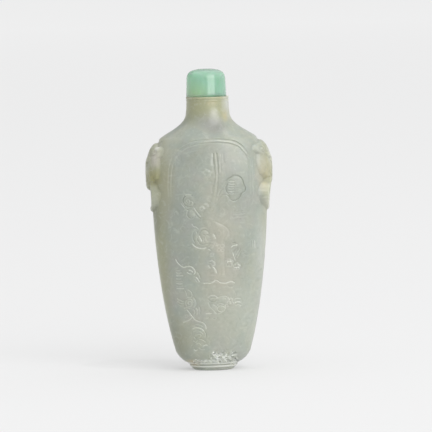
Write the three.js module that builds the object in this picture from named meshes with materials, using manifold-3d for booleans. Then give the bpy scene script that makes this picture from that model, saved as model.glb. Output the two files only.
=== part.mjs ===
// Snuff bottle: a slender flattened bottle with sloping shoulders and a low oval foot.
// Its face carries an arched border round a shallow landscape of pine, rocks and leaves,
// and a mask holding a ring is carved on each shoulder. A domed stopper rests on the mouth.
// Millimetres, +Z up, the carved face towards -Y, the origin under the middle of the foot.

import * as THREE from "three";
import { mergeVertices } from "three/addons/utils/BufferGeometryUtils.js";
import Module from "manifold-3d";

const wasm = await Module();
wasm.setup();

// ---- Driving dimensions ----------------------------------------------------------------

const LIP_HEIGHT = 69;
const NECK_RADIUS = 5.4;
const NECK_BASE = 65;
const WIDEST_HEIGHT = 47;
const HALF_WIDTH = 14.55;
const HALF_DEPTH = 8.8;

const FOOT_HALF_WIDTH = 5.2;
const FOOT_HALF_DEPTH = 4.6;
const FOOT_HEIGHT = 1.9;
const FOOT_RIM = 1.5;
const FOOT_RECESS = 0.7;
const CHIP_HEIGHT = 4.3;

const WALL = 2.6;
const FLOOR_HEIGHT = 6.8;
const BORE_RADIUS = 3.4;

const MASK_HEIGHT = 52.2;
const RING_HEIGHT = 44.6;
const RING_RADIUS = 3.7;
const RING_BAND = 1.5;

const STOPPER_RADIUS = 5.07;
const STOPPER_HEIGHT = 7;
const STOPPER_SHIFT = -0.25;

const BODY_SIDES = 36;
const CAVITY_SIDES = 20;

// ---- Manifold helpers ------------------------------------------------------------------

// A closed geometry becomes a manifold solid, without the slivers at a lathe's poles.
function solid(geometry) {
  const bare = geometry.clone();
  bare.deleteAttribute("normal");
  bare.deleteAttribute("uv");
  const merged = mergeVertices(bare, 1e-4);
  const corners = merged.index.array;
  const kept = [];
  for (let i = 0; i < corners.length; i += 3) {
    const [a, b, c] = corners.slice(i, i + 3);
    if (a !== b && b !== c && c !== a) {
      kept.push(a, b, c);
    }
  }
  return new wasm.Manifold(
    new wasm.Mesh({
      numProp: 3,
      vertProperties: new Float32Array(merged.attributes.position.array),
      triVerts: new Uint32Array(kept),
    }),
  );
}

const joined = (solids) => solids.reduce((whole, piece) => whole.add(piece));

// Every vertex of a geometry is moved by a rule that takes and changes a point.
function reshape(geometry, rule) {
  const place = geometry.attributes.position;
  const point = new THREE.Vector3();
  for (let i = 0; i < place.count; i += 1) {
    point.fromBufferAttribute(place, i);
    rule(point, i);
    place.setXYZ(i, point.x, point.y, point.z);
  }
  return geometry;
}

// ---- The bottle's oval sections --------------------------------------------------------

// A station on the outline: half width, half depth and height.
const at = (halfWidth, halfDepth, height) => new THREE.Vector3(halfWidth, halfDepth, height);

// The points along a chain of curves, each given with its number of steps.
function stationsAlong(chain) {
  const stations = [chain[0][0].getPoint(0)];
  for (const [curve, steps] of chain) {
    for (let i = 1; i <= steps; i += 1) {
      stations.push(curve.getPoint(i / steps));
    }
  }
  return stations;
}

const straight = (from, to) => new THREE.LineCurve3(from, to);
const bend = (from, first, second, to) => new THREE.CubicBezierCurve3(from, first, second, to);

// The flank, the shoulder and the slope up to the neck.
const flankFoot = at(9.4, 6.7, 4.6);
const flankTop = at(HALF_WIDTH, HALF_DEPTH, WIDEST_HEIGHT);
const shoulderTop = at(12.35, 7.7, 58.6);
const neckFoot = at(NECK_RADIUS + 0.1, NECK_RADIUS + 0.05, NECK_BASE);
const flank = bend(flankFoot, at(12.5, 7.9, 17), at(HALF_WIDTH, HALF_DEPTH, 34), flankTop);
const shoulder = bend(flankTop, at(HALF_WIDTH, HALF_DEPTH, 52.6), at(13.9, 8.3, 56.7), shoulderTop);
const slope = bend(shoulderTop, at(10.6, 7, 60.2), at(5.5, 5.5, 61.8), neckFoot);

function outerStations() {
  const rimWidth = FOOT_HALF_WIDTH - FOOT_RIM;
  const rimDepth = FOOT_HALF_DEPTH - FOOT_RIM;
  const footTop = at(6.35, 5.4, FOOT_HEIGHT);
  const footBottom = at(FOOT_HALF_WIDTH, FOOT_HALF_DEPTH, 0);
  const recessEdge = at(rimWidth - 0.4, rimDepth - 0.4, FOOT_RECESS);
  const lipBelow = at(NECK_RADIUS, NECK_RADIUS, LIP_HEIGHT - 0.3);
  const lipEdge = at(NECK_RADIUS - 0.3, NECK_RADIUS - 0.3, LIP_HEIGHT);
  return stationsAlong([
    [straight(at(0, 0, FOOT_RECESS), recessEdge), 1],
    [straight(recessEdge, at(rimWidth, rimDepth, 0)), 1],
    [straight(at(rimWidth, rimDepth, 0), footBottom), 1],
    [bend(footBottom, at(5.7, 5, 0.2), at(5.7, 5, 1), footTop), 3],
    [bend(footTop, at(7.6, 5.9, 2.6), at(8.7, 6.4, 3.6), flankFoot), 3],
    [flank, 7],
    [shoulder, 5],
    [slope, 5],
    [straight(neckFoot, lipBelow), 2],
    [straight(lipBelow, lipEdge), 1],
    [straight(lipEdge, at(0, 0, LIP_HEIGHT)), 1],
  ]);
}

// The hollow keeps the wall's thickness inside the flank and runs up the neck.
function cavityStations() {
  const inside = (station, wall) => at(station.x - wall, station.y - wall, station.z);
  const low = at(6.2, 4, FLOOR_HEIGHT + 1.2);
  const wide = inside(flankTop, WALL);
  const boreFoot = at(BORE_RADIUS, BORE_RADIUS, NECK_BASE - 2.5);
  const boreTop = at(BORE_RADIUS, BORE_RADIUS, LIP_HEIGHT + 1);
  return stationsAlong([
    [straight(at(0, 0, FLOOR_HEIGHT), at(4.2, 2.6, FLOOR_HEIGHT)), 1],
    [straight(at(4.2, 2.6, FLOOR_HEIGHT), low), 1],
    [bend(low, at(9, 5.2, 18), inside(at(HALF_WIDTH, HALF_DEPTH, 33), WALL), wide), 5],
    [bend(wide, inside(at(HALF_WIDTH, HALF_DEPTH, 55.5), WALL), at(6, 5, 58), boreFoot), 5],
    [straight(boreFoot, boreTop), 1],
    [straight(boreTop, at(0, 0, LIP_HEIGHT + 1)), 1],
  ]);
}

// A round section is an ellipse, and a flattened one is a fuller oval.
const fullness = (station) => 2 + 1.1 * Math.max(0, 1 - station.y / Math.max(station.x, 1e-6));

function ovalSolid(stations, sides) {
  const lathe = new THREE.LatheGeometry(
    stations.map((station) => new THREE.Vector2(station.x, station.z)),
    sides,
  );
  const power = (value, exponent) => Math.sign(value) * Math.abs(value) ** exponent;
  reshape(lathe, (point, i) => {
    const station = stations[i % stations.length];
    const turn = (2 * Math.PI * Math.floor(i / stations.length)) / sides;
    const exponent = 2 / fullness(station);
    point.x = station.x * power(Math.sin(turn), exponent);
    point.y = -station.y * power(Math.cos(turn), exponent);
    point.z = station.z;
  });
  return solid(lathe);
}

const outside = outerStations();

// The outline at any height, between its stations.
function stationAt(height) {
  const above = outside.findIndex((station, i) => i > 2 && station.z >= height);
  const [low, high] = [outside[above - 1], outside[above]];
  const along = THREE.MathUtils.clamp((height - low.z) / (high.z - low.z), 0, 1);
  return low.clone().lerp(high, along);
}

// How far the wall stands out at a place on the face, or on the side.
function reachAcross(offset, height, across, out) {
  const station = stationAt(height);
  const power = fullness(station);
  const share = Math.min(Math.abs(offset) / station[across], 1);
  return station[out] * (1 - share ** power) ** (1 / power);
}

const faceDepth = (x, z) => reachAcross(x, z, "x", "y");
const sideWidth = (y, z) => reachAcross(y, z, "y", "x");

// A form made flat round y = 0 is laid on the face, or on the back after a half turn.
const onFace = (form) => reshape(form, (p) => p.setY(p.y - faceDepth(p.x, p.z)));
const onBack = (form) => onFace(form).rotateZ(Math.PI);

// A form made flat round x = 0 is laid on the right side.
const onSide = (form) => reshape(form, (p) => p.setX(p.x + sideWidth(p.y, p.z)));

// ---- Low relief ------------------------------------------------------------------------

// A low rounded mound, centred on the surface.
function mound(x, z, halfWidth, halfHeight, rise, turn = 0) {
  const form = new THREE.SphereGeometry(1, 8, 4).rotateX(Math.PI / 2);
  form.scale(halfWidth, rise, halfHeight);
  return form.rotateY(turn).translate(x, 0, z);
}

// A tapering ridge along a smooth path through the points given.
function ridge(points, startWidth, endWidth, rise, steps = 4, sides = 4) {
  const path = new THREE.CatmullRomCurve3(points.map(([x, z]) => new THREE.Vector3(x, 0, z)));
  const bar = new THREE.CylinderGeometry(1, 1, 1, sides, steps);
  return reshape(bar, (point) => {
    const along = point.y + 0.5;
    const centre = path.getPointAt(along);
    const ahead = path.getTangentAt(along);
    const half = THREE.MathUtils.lerp(startWidth, endWidth, along) / 2;
    const [across, out] = [point.x * half, point.z * rise];
    point.set(centre.x + ahead.z * across, -out, centre.z - ahead.x * across);
  });
}

// A five-petalled blossom, as one mound with a lobed edge.
function blossom(x, z, radius, rise) {
  const form = new THREE.SphereGeometry(1, 15, 3).rotateX(Math.PI / 2);
  reshape(form, (p) => {
    const lobe = 0.8 + 0.2 * Math.cos(5 * Math.atan2(p.z, p.x));
    p.set(p.x * radius * lobe, p.y * rise, p.z * radius * lobe);
  });
  return form.translate(x, 0, z);
}

// A disc of pine needles: a low mound crossed by level ridges.
function pineDisc(x, z, radius, rise) {
  const needles = [-0.5, 0, 0.5].map((step) => {
    const half = radius * Math.sqrt(1 - step * step) * 0.8;
    const level = z + step * radius;
    return ridge([[x - half, level], [x + half, level]], 0.4, 0.4, rise * 1.35, 1);
  });
  return [mound(x, z, radius, radius, rise), ...needles];
}

function landscape() {
  const trunk = [
    [1.9, 54], [2.2, 49.5], [1.7, 45], [0.8, 41.5], [1.4, 37], [2.6, 32.5], [1.9, 28], [1.2, 24],
  ];
  return [
    ridge(trunk, 0.9, 3, 0.42, 11, 6),
    ridge([[1.6, 45.5], [4.2, 46.6], [6.4, 45.8]], 0.9, 0.5, 0.35),
    ridge([[0.9, 41.4], [-2, 41.2], [-4.6, 42.4]], 1, 0.5, 0.35),
    ridge([[1.6, 36.5], [-0.6, 35], [-2.4, 33.8]], 1.1, 0.7, 0.35),
    ...pineDisc(7.2, 45.6, 2.7, 0.38),
    mound(-5.2, 42.8, 1.75, 1.75, 0.34),
    mound(-3.3, 39.5, 1.4, 1.4, 0.34),
    mound(-2.4, 33.9, 2.2, 2.4, 0.36),
    blossom(-0.4, 49.8, 0.95, 0.32),
    blossom(4.4, 27.8, 1.1, 0.34),
    blossom(6.3, 26.4, 1, 0.34),
    ridge([[2.2, 30.5], [4, 31.6], [6.4, 31.6]], 0.8, 0.4, 0.32),
    ridge([[-8.8, 28.5], [-7.1, 26.6], [-5, 26.7], [-3.8, 25.2]], 0.6, 0.9, 0.34),
    mound(-5.3, 25.4, 0.9, 0.6, 0.32),
    ridge([[-1.8, 22.6], [0.2, 22.5], [1.3, 23.1], [2.6, 22.5], [5.8, 22.5]], 0.6, 0.6, 0.32),
    mound(0.5, 18.5, 1.3, 0.8, 0.4),
    mound(2.9, 15.6, 1.9, 1.2, 0.45, 0.3),
    mound(4.6, 17.6, 1.6, 0.9, 0.4, -0.5),
    ridge([[4.6, 17.4], [6.2, 18.2], [7.4, 17.7]], 0.7, 0.4, 0.32, 4),
    mound(-5.4, 17.5, 1.4, 1.9, 0.42),
    mound(-7.6, 18.6, 1.1, 1.4, 0.36, 0.3),
    ridge([[-6.2, 16], [-5, 13.9], [-3.9, 12.9], [-2.2, 12.3]], 0.9, 0.5, 0.34),
    ridge([[-7.4, 12.6], [-6.2, 13.4], [-5, 13.9]], 0.5, 0.7, 0.32, 4),
    mound(-3.6, 9.8, 1.6, 1.1, 0.38),
    mound(-3.6, 7, 1.3, 0.9, 0.34),
  ];
}

// The plainer back has one tree on a rock.
function backGrove() {
  return [
    ridge([[0.6, 19], [-0.8, 25], [0.9, 32], [-0.6, 39], [1.2, 46]], 2.6, 0.8, 0.42, 8, 6),
    ridge([[0.8, 33], [3, 35], [5, 34.6]], 1, 0.5, 0.35),
    ridge([[-0.5, 38], [-3, 40], [-5, 39.6]], 1, 0.5, 0.35),
    mound(6.2, 34.6, 2.2, 2, 0.36),
    mound(-5.8, 39.8, 2.2, 2, 0.36),
    mound(1.4, 47, 2.5, 2.1, 0.36),
    mound(-2.4, 17.6, 2.4, 1.7, 0.42, 0.3),
    mound(2.2, 17, 2.8, 1.4, 0.42, -0.2),
  ];
}

// ---- The arched border's two cut lines -------------------------------------------------

function archLine(halfWidth, crown, legFoot) {
  const spring = 50.6;
  const rise = crown - spring;
  const path = [];
  for (let i = 0; i <= 12; i += 1) {
    const turn = (Math.PI * i) / 12;
    path.push([-halfWidth * Math.cos(turn), spring + rise * Math.sin(turn)]);
  }
  return onFace(ridge([[-halfWidth, legFoot], ...path, [halfWidth, legFoot]], 0.55, 0.55, 0.28, 18));
}

// ---- Mask and ring on one shoulder -----------------------------------------------------

// A rounded boss on the side, placed by its distance across and its height.
function boss(y, z, halfAcross, halfHigh, rise, centre = 0, turn = 0) {
  const form = new THREE.SphereGeometry(1, 8, 4).rotateZ(Math.PI / 2);
  form.scale(rise, halfAcross, halfHigh);
  return onSide(form.rotateX(turn).translate(centre, y, z));
}

function maskRing(reach) {
  const shape = new THREE.Shape();
  shape.absarc(0, 0, RING_RADIUS + RING_BAND / 2, 0, 2 * Math.PI);
  const hole = new THREE.Path();
  hole.absarc(0, 0, RING_RADIUS - RING_BAND / 2, 0, 2 * Math.PI, true);
  shape.holes.push(hole);
  const bevel = 0.35;
  const inner = HALF_WIDTH - WALL / 2;
  const ring = new THREE.ExtrudeGeometry(shape, {
    depth: reach - inner - bevel,
    curveSegments: 9,
    bevelEnabled: true,
    bevelThickness: bevel,
    bevelSize: bevel,
    bevelOffset: -bevel,
    bevelSegments: 1,
  });
  return ring.rotateX(Math.PI / 2).rotateZ(Math.PI / 2).translate(inner, 0, RING_HEIGHT);
}

function mask(ringReach) {
  const face = boss(0, MASK_HEIGHT, 5, 5.9, 1.1, -0.1);
  const muzzle = boss(0, MASK_HEIGHT - 3, 3, 2.8, 1.4, 0.05);
  const lip = boss(0, MASK_HEIGHT - 4.9, 2.3, 0.8, 0.9, 0.6);
  const nose = boss(0, MASK_HEIGHT - 0.7, 1.1, 1.7, 0.85, 0.75);
  const forehead = boss(0, MASK_HEIGHT + 2.5, 2.4, 3, 1.3, 0.2);
  const pairs = [1, -1].flatMap((side) => [
    boss(2 * side, MASK_HEIGHT + 1.5, 1.8, 0.8, 0.85, 0.8, 0.35 * side),
    boss(1.9 * side, MASK_HEIGHT + 0.2, 0.8, 0.6, 0.6, 0.85),
    boss(3.6 * side, MASK_HEIGHT - 2.4, 1.3, 2, 0.9, 0.25),
    boss(3.9 * side, MASK_HEIGHT + 3.6, 1.1, 1.4, 0.75, 0.25),
  ]);
  return joined([face, muzzle, lip, nose, forehead, ...pairs, maskRing(ringReach)].map(solid));
}

// ---- The bottle and its stopper --------------------------------------------------------

// Flat breaks along the lower front edge, each shaving the edge at its own slant and twist.
function chips() {
  const breaks = [[-0.4, 0.2, 0.5, 0.25], [1.8, -0.25, 0.9, 0.4], [3.9, 0.5, 0.6, 0.3], [5.6, 0.2, 1, 0.35]];
  return breaks.map(([x, twist, slant, bite]) => {
    const box = new THREE.BoxGeometry(3, 2, 5).translate(0, -1, 0);
    box.rotateX(slant).rotateZ(twist).translate(x, bite - faceDepth(x, CHIP_HEIGHT), CHIP_HEIGHT);
    return solid(box);
  });
}

function bottleSolid() {
  const shell = ovalSolid(outside, BODY_SIDES);
  const hollow = ovalSolid(cavityStations(), CAVITY_SIDES);
  const halfTurn = [0, 0, 180];
  const carved = joined([
    shell,
    ...landscape().map((form) => solid(onFace(form))),
    ...backGrove().map((form) => solid(onBack(form))),
    mask(15.3),
    mask(14.9).rotate(halfTurn),
  ]);
  const cuts = [solid(archLine(10.3, 58.5, 44.5)), solid(archLine(9.4, 57.6, 44.5)), hollow];
  return [...cuts, ...chips()].reduce((whole, cut) => whole.subtract(cut), carved);
}

function stopperGeometry() {
  const edge = new THREE.Vector2(STOPPER_RADIUS, STOPPER_HEIGHT * 0.62);
  const crown = new THREE.CubicBezierCurve(
    edge,
    new THREE.Vector2(STOPPER_RADIUS, STOPPER_HEIGHT * 0.9),
    new THREE.Vector2(STOPPER_RADIUS * 0.62, STOPPER_HEIGHT),
    new THREE.Vector2(0, STOPPER_HEIGHT),
  );
  const bevel = 0.25;
  const profile = [
    new THREE.Vector2(0, 0),
    new THREE.Vector2(STOPPER_RADIUS - bevel, 0),
    new THREE.Vector2(STOPPER_RADIUS, bevel),
    ...crown.getPoints(7),
  ];
  return new THREE.LatheGeometry(profile, 28).rotateX(Math.PI / 2);
}

function namedMesh(name, shape, color, roughness) {
  const { vertProperties, triVerts } = shape.getMesh();
  const geometry = new THREE.BufferGeometry();
  geometry.setAttribute("position", new THREE.BufferAttribute(vertProperties, 3));
  geometry.setIndex(new THREE.BufferAttribute(triVerts, 1));
  geometry.computeVertexNormals();
  const material = new THREE.MeshStandardMaterial({ color, roughness, metalness: 0 });
  const mesh = new THREE.Mesh(geometry, material);
  mesh.name = name;
  return mesh;
}

const group = new THREE.Group();
group.add(namedMesh("bottle", bottleSolid(), 0xb4bcaa, 0.35));
const stopper = namedMesh("stopper", solid(stopperGeometry()), 0x99c4a6, 0.12);
stopper.position.set(STOPPER_SHIFT, 0, LIP_HEIGHT);
group.add(stopper);

export default group;
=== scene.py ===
"""A carved jade snuff bottle with its domed stopper, on a plain studio floor.

The bottle is turned as one closed wall, pressed to an oval and carved: an arched border round
a landscape of pine, blossom and rocks on the face, a mask with a ring on each narrow side, a
plainer pine on the back and a few breaks along the lower front edge. Design values are in
millimetres, with x to the right and z up, and become metres when a mesh is made.
"""

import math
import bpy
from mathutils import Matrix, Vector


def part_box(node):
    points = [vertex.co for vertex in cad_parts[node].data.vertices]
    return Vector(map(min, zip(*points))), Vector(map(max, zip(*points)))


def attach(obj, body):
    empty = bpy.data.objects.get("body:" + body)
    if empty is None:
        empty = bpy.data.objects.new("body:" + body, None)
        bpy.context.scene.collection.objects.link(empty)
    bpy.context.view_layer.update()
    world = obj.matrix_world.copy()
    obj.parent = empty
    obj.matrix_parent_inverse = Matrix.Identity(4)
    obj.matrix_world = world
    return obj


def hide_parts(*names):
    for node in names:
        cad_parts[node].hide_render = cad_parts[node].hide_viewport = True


bl_info = {
    "name": "Snuff Bottle",
    "version": (1, 0, 0),
    "blender": (4, 5, 0),
    "location": "View3D > Sidebar > Snuff Bottle",
    "description": "Builds a carved jade snuff bottle, its stopper and a plain stage",
    "category": "Add Mesh",
}

from collections import namedtuple

import bmesh
import bpy
import numpy as np
from bpy.props import FloatProperty, FloatVectorProperty, IntProperty, PointerProperty
from mathutils import Matrix, Vector

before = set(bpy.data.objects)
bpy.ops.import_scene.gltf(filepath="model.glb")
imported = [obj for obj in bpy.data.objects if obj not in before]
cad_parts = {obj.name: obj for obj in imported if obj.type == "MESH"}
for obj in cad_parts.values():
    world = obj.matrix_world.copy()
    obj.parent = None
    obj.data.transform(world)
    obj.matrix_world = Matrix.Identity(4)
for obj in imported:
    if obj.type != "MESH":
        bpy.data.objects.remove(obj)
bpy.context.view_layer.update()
BOTTLE_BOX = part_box("bottle")
STOPPER_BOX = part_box("stopper")

MM = 0.001
LIP = BOTTLE_BOX[1][2] / MM
TOP = STOPPER_BOX[1][2] / MM
STOPPER_X = (STOPPER_BOX[0][0] + STOPPER_BOX[1][0]) / 2 / MM
STOPPER_RADIUS = (STOPPER_BOX[1][0] - STOPPER_BOX[0][0]) / 2 / MM
MASK_REACH = BOTTLE_BOX[1][0] / MM

Stroke = namedtuple("Stroke", "path half rise pale")
Mound = namedtuple("Mound", "x z across high rise turn")
Handle = namedtuple("Handle", "side ring_reach lean middle scale notch_depth notch_height")
Break = namedtuple("Break", "x z half_width half_height ragged")


# ---- Settings -------------------------------------------------------------------------------


class BottleShape(bpy.types.PropertyGroup):
    """Sizes of the bottle that a user would change."""

    half_width: FloatProperty(
        name="Half width",
        description="Half the width of the body at its widest, without the masks",
        default=14.55 * MM,
        unit="LENGTH",
    )
    half_depth: FloatProperty(
        name="Half depth",
        description="Half the thickness of the body at its widest",
        default=8.8 * MM,
        unit="LENGTH",
    )
    neck_radius: FloatProperty(
        name="Neck radius",
        description="Outer radius of the round neck",
        default=5.4 * MM,
        unit="LENGTH",
    )
    bore_radius: FloatProperty(
        name="Bore radius",
        description="Radius of the hole down the neck",
        default=3.4 * MM,
        unit="LENGTH",
    )
    wall: FloatProperty(
        name="Wall",
        description="Thickness of the stone round the hollow",
        default=2.6 * MM,
        unit="LENGTH",
    )
    sides: IntProperty(
        name="Sides",
        description="Steps round the turned body before the carving is refined",
        default=112,
        min=48,
    )


class StoneFinish(bpy.types.PropertyGroup):
    """Colours of the jade and of the stopper."""

    jade: FloatVectorProperty(
        name="Jade",
        description="The pale grey-green of most of the stone",
        subtype="COLOR",
        default=(0.35, 0.37, 0.305),
    )
    jade_blue: FloatVectorProperty(
        name="Blue-grey clouds",
        description="The cooler clouds in the stone",
        subtype="COLOR",
        default=(0.318, 0.352, 0.308),
    )
    jade_olive: FloatVectorProperty(
        name="Olive flanks",
        description="The olive of the narrow sides and the neck",
        subtype="COLOR",
        default=(0.345, 0.35, 0.215),
    )
    jade_beige: FloatVectorProperty(
        name="Beige veil",
        description="The warm veil down the middle of the face",
        subtype="COLOR",
        default=(0.4, 0.39, 0.32),
    )
    skin: FloatVectorProperty(
        name="Tan skin",
        description="The yellow-tan spots on a mask and on the neck",
        subtype="COLOR",
        default=(0.47, 0.42, 0.24),
    )
    pale: FloatVectorProperty(
        name="Pale edges",
        description="The pale worn edges of the carving",
        subtype="COLOR",
        default=(0.72, 0.74, 0.68),
    )
    stopper: FloatVectorProperty(
        name="Stopper green",
        description="The mint green of the stopper",
        subtype="COLOR",
        default=(0.265, 0.475, 0.34),
    )


class StageSettings(bpy.types.PropertyGroup):
    """The floor, the lights and the camera."""

    floor_size: FloatProperty(
        name="Floor size",
        description="Side of the square floor",
        default=16.0,
        unit="LENGTH",
    )
    floor_glow: FloatProperty(
        name="Floor glow",
        description="Even brightness of the floor that the lights then add to",
        default=0.366,
    )
    floor_lift: FloatProperty(
        name="Floor lift",
        description="How much brighter the floor glows far off, where less of the light reaches it",
        default=0.08,
    )
    key_power: FloatProperty(
        name="Key power",
        description="Strength of the large soft light at the right front",
        default=58.0,
        unit="POWER",
    )
    camera_distance: FloatProperty(
        name="Camera distance",
        description="From the camera to the middle of the bottle",
        default=1.0,
        unit="LENGTH",
    )
    camera_elevation: FloatProperty(
        name="Camera elevation",
        description="How far the camera looks down",
        default=math.radians(4.0),
        subtype="ANGLE",
    )
    camera_roll: FloatProperty(
        name="Camera roll",
        description="How far the picture is turned, so that the bottle leans",
        default=math.radians(1.35),
        subtype="ANGLE",
    )
    view_height: FloatProperty(
        name="View height",
        description="Height of the picture where the bottle stands",
        default=0.1091,
        unit="LENGTH",
    )


# ---- The outline ----------------------------------------------------------------------------


def bend(start, first, second, end, steps):
    """Points along a cubic curve through sections of half width, half depth and height."""
    t = np.linspace(0, 1, steps + 1)[:, None]
    start, first, second, end = (np.array(p, float) for p in (start, first, second, end))
    near = (1 - t) ** 3 * start + 3 * (1 - t) ** 2 * t * first
    far = 3 * (1 - t) * t**2 * second + t**3 * end
    return near + far


def chain(*runs):
    """Join runs of sections end to end, without their shared ends."""
    return np.vstack([runs[0], *(run[1:] for run in runs[1:])])


# Fine turned lines: the height, depth and reach of each.
FOOT_LINES = ((1.42, 0.3, 0.3), (0.62, 0.22, 0.26))
NECK_LINES = ((LIP - 0.65, 0.09, 0.22), (LIP - 1.3, 0.07, 0.22))
# How much fuller than an ellipse a flattened section is.
OVAL_GAIN = 1.1


def turned_lines(run, lines):
    """Sink fine lines round a run of sections. Each has a height, a depth and a reach."""
    for height, depth, reach in lines:
        run[:, :2] -= depth * np.clip(1 - np.abs(run[:, 2:] - height) / reach, 0, 1)
    return run


def outer_wall(shape):
    """Sections of the outer wall, from the foot's rim to the lip."""
    wide, deep = shape.half_width / MM, shape.half_depth / MM
    neck = shape.neck_radius / MM
    rim = (4.8, 4.25, 0.0)
    foot_top = (6.6, 5.55, 1.88)
    flank_foot = (9.42, 6.75, 4.68)
    flank_top = (wide, deep, 47.0)
    shoulder_top = (12.2, 7.65, 58.6)
    neck_foot = (neck + 0.1, neck + 0.05, 65.0)
    neck_low = (neck - 0.1, neck - 0.1, 66.4)
    neck_high = (neck - 0.12, neck - 0.12, 67.8)
    lip_below = (neck, neck, LIP - 0.3)
    lip_round = (neck, neck, LIP - 0.08)
    lip_inner = (neck - 0.08, neck - 0.08, LIP)
    lip_edge = (neck - 0.3, neck - 0.3, LIP)
    return chain(
        turned_lines(bend(rim, (5.3, 4.7, 0.2), (6.1, 5.25, 1.05), foot_top, 18), FOOT_LINES),
        bend(foot_top, (7.7, 6.0, 2.3), (8.75, 6.5, 3.3), flank_foot, 8),
        bend(flank_foot, (12.85, 7.95, 16.3), (wide, deep, 34), flank_top, 58),
        bend(flank_top, (wide, deep, 52.6), (13.9, 8.3, 56.7), shoulder_top, 17),
        bend(shoulder_top, (10.4, 6.95, 60.15), (5.5, 5.5, 61.8), neck_foot, 14),
        turned_lines(bend(neck_foot, neck_low, neck_high, lip_below, 20), NECK_LINES),
        bend(lip_below, lip_round, lip_inner, lip_edge, 4),
    )


def underside():
    """Sections of the recess under the foot, from its middle to the inside of the rim."""
    recess = [(0, 0, 0.7), (2, 1.72, 0.7), (3.2, 2.72, 0.65)]
    rim_side = [(3.7, 3.15, 0.06), (3.9, 3.35, 0)]
    return np.array(recess + rim_side)


def inner_wall(shape):
    """Sections of the hollow, from the top of the bore down to the middle of its floor."""
    wall, bore = shape.wall / MM, shape.bore_radius / MM
    wide, deep = shape.half_width / MM - wall, shape.half_depth / MM - wall
    bore_foot = (bore, bore, 62.5)
    middle = (wide, deep, 47.0)
    low = (6.2, 4.0, 8.0)
    floor_edge, floor_middle = (4.2, 2.6, 6.8), (0, 0, 6.8)
    return chain(
        np.array([(bore + 0.25, bore + 0.25, LIP), (bore, bore, LIP - 0.25), bore_foot]),
        bend(bore_foot, (6, 5, 58), (wide, deep, 55.5), middle, 10),
        bend(middle, (wide, deep, 33), (9, 5.2, 18), low, 10),
        np.array([low, floor_edge, floor_middle]),
    )


def fullness(wide, deep):
    """The oval's power: 2 is an ellipse, and a flatter section is a fuller oval."""
    return 2 + OVAL_GAIN * np.clip(1 - deep / np.maximum(wide, 1e-6), 0, None)


def section_at(wall, height):
    """Half width, half depth and fullness of the outer wall at each height."""
    wide = np.interp(height, wall[:, 2], wall[:, 0])
    deep = np.interp(height, wall[:, 2], wall[:, 1])
    return wide, deep, fullness(wide, deep)


def reach_across(offset, wide, out, power):
    """How far the oval stands out at an offset from its middle."""
    share = np.clip(np.abs(offset) / wide, 0, 1)
    return out * (1 - share**power) ** (1 / power)


# ---- Strokes, mounds and how they are laid --------------------------------------------------

# How steeply each form starts at its edge: 1 is one slope from its edge to its middle.
MOUND_START = 5.0
RIDGE_START = 1.6
CUT_START = 1.3
PALE_START = 2.4
# Only cuts deeper than this get the finest wall under them.
FAINT_DEPTH = 0.1


def smooth_path(points, per_span=6):
    """A Catmull-Rom curve through the points, with a few steps in each span."""
    p = np.array(points, float)
    if len(p) < 3:
        return p
    p = np.vstack([2 * p[0] - p[1], p, 2 * p[-1] - p[-2]])
    t = np.linspace(0, 1, per_span, endpoint=False)[:, None]
    spans = []
    for a, b, c, d in zip(p, p[1:], p[2:], p[3:]):
        cubic = (3 * b - a - 3 * c + d) * t**3 + (2 * a - 5 * b + 4 * c - d) * t**2
        spans.append(0.5 * (cubic + (c - a) * t + 2 * b))
    return np.vstack([*spans, p[-2:-1]])


def arc(x, z, radius, start, end, squash=1.0, steps=14):
    """Points along part of an ellipse, its angles in degrees from the right."""
    turns = np.radians(np.linspace(start, end, steps + 1))
    return [(x + radius * math.cos(a), z + radius * squash * math.sin(a)) for a in turns]


def spiral(x, z, radius, start, turns, steps=16):
    """Points along a curl that winds in from its rim."""
    share = np.linspace(0, 1, steps + 1)
    angles = np.radians(start) + 2 * math.pi * turns * share
    reach = radius * (1 - 0.8 * share)
    return [(x + r * math.cos(a), z + r * math.sin(a)) for r, a in zip(reach, angles)]


def cut(points, width=0.34, depth=0.13, pale=0.0):
    """A cut line. Width and depth are one number, or a list spread along the line."""
    return Stroke(smooth_path(points), np.atleast_1d(width) / 2, -np.atleast_1d(depth), pale)


def ridge(points, width, rise, pale=0.0):
    """A raised rounded band."""
    return Stroke(smooth_path(points), np.atleast_1d(width) / 2, np.atleast_1d(rise), pale)


def along_path(values, share):
    """A value at each share of a path, from numbers spread evenly along it."""
    return np.interp(share, np.linspace(0, 1, len(values)), values)


def near_path(points, path, reach):
    """Indices of the points within reach of a path, their distance and place along it."""
    low, high = path.min(axis=0) - reach, path.max(axis=0) + reach
    near = np.flatnonzero(((points >= low) & (points <= high)).all(axis=1))
    spot = points[near]
    lengths = np.linalg.norm(np.diff(path, axis=0), axis=1)
    total = max(lengths.sum(), 1e-9)
    best, share, done = np.full(len(near), 1e9), np.zeros(len(near)), 0.0
    for start, end, length in zip(path, path[1:], lengths):
        run = end - start
        t = np.clip((spot - start) @ run / max(length * length, 1e-12), 0, 1)
        gap = np.linalg.norm(spot - start - t[:, None] * run, axis=1)
        closer = gap < best
        best[closer] = gap[closer]
        share[closer] = ((done + t * length) / total)[closer]
        done += length
    close = best < reach
    return near[close], best[close], share[close]


def ease(value):
    """A smooth step from 0 to 1."""
    value = np.clip(value, 0, 1)
    return value * value * (3 - 2 * value)


def mound_share(points, mound):
    """How far inside a mound each point is: 1 in its middle, 0 at its edge and beyond."""
    c, s = math.cos(mound.turn), math.sin(mound.turn)
    x, z = points[:, 0] - mound.x, points[:, 1] - mound.z
    u, v = (x * c + z * s) / mound.across, (z * c - x * s) / mound.high
    return 1 - (u * u + v * v)


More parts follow.
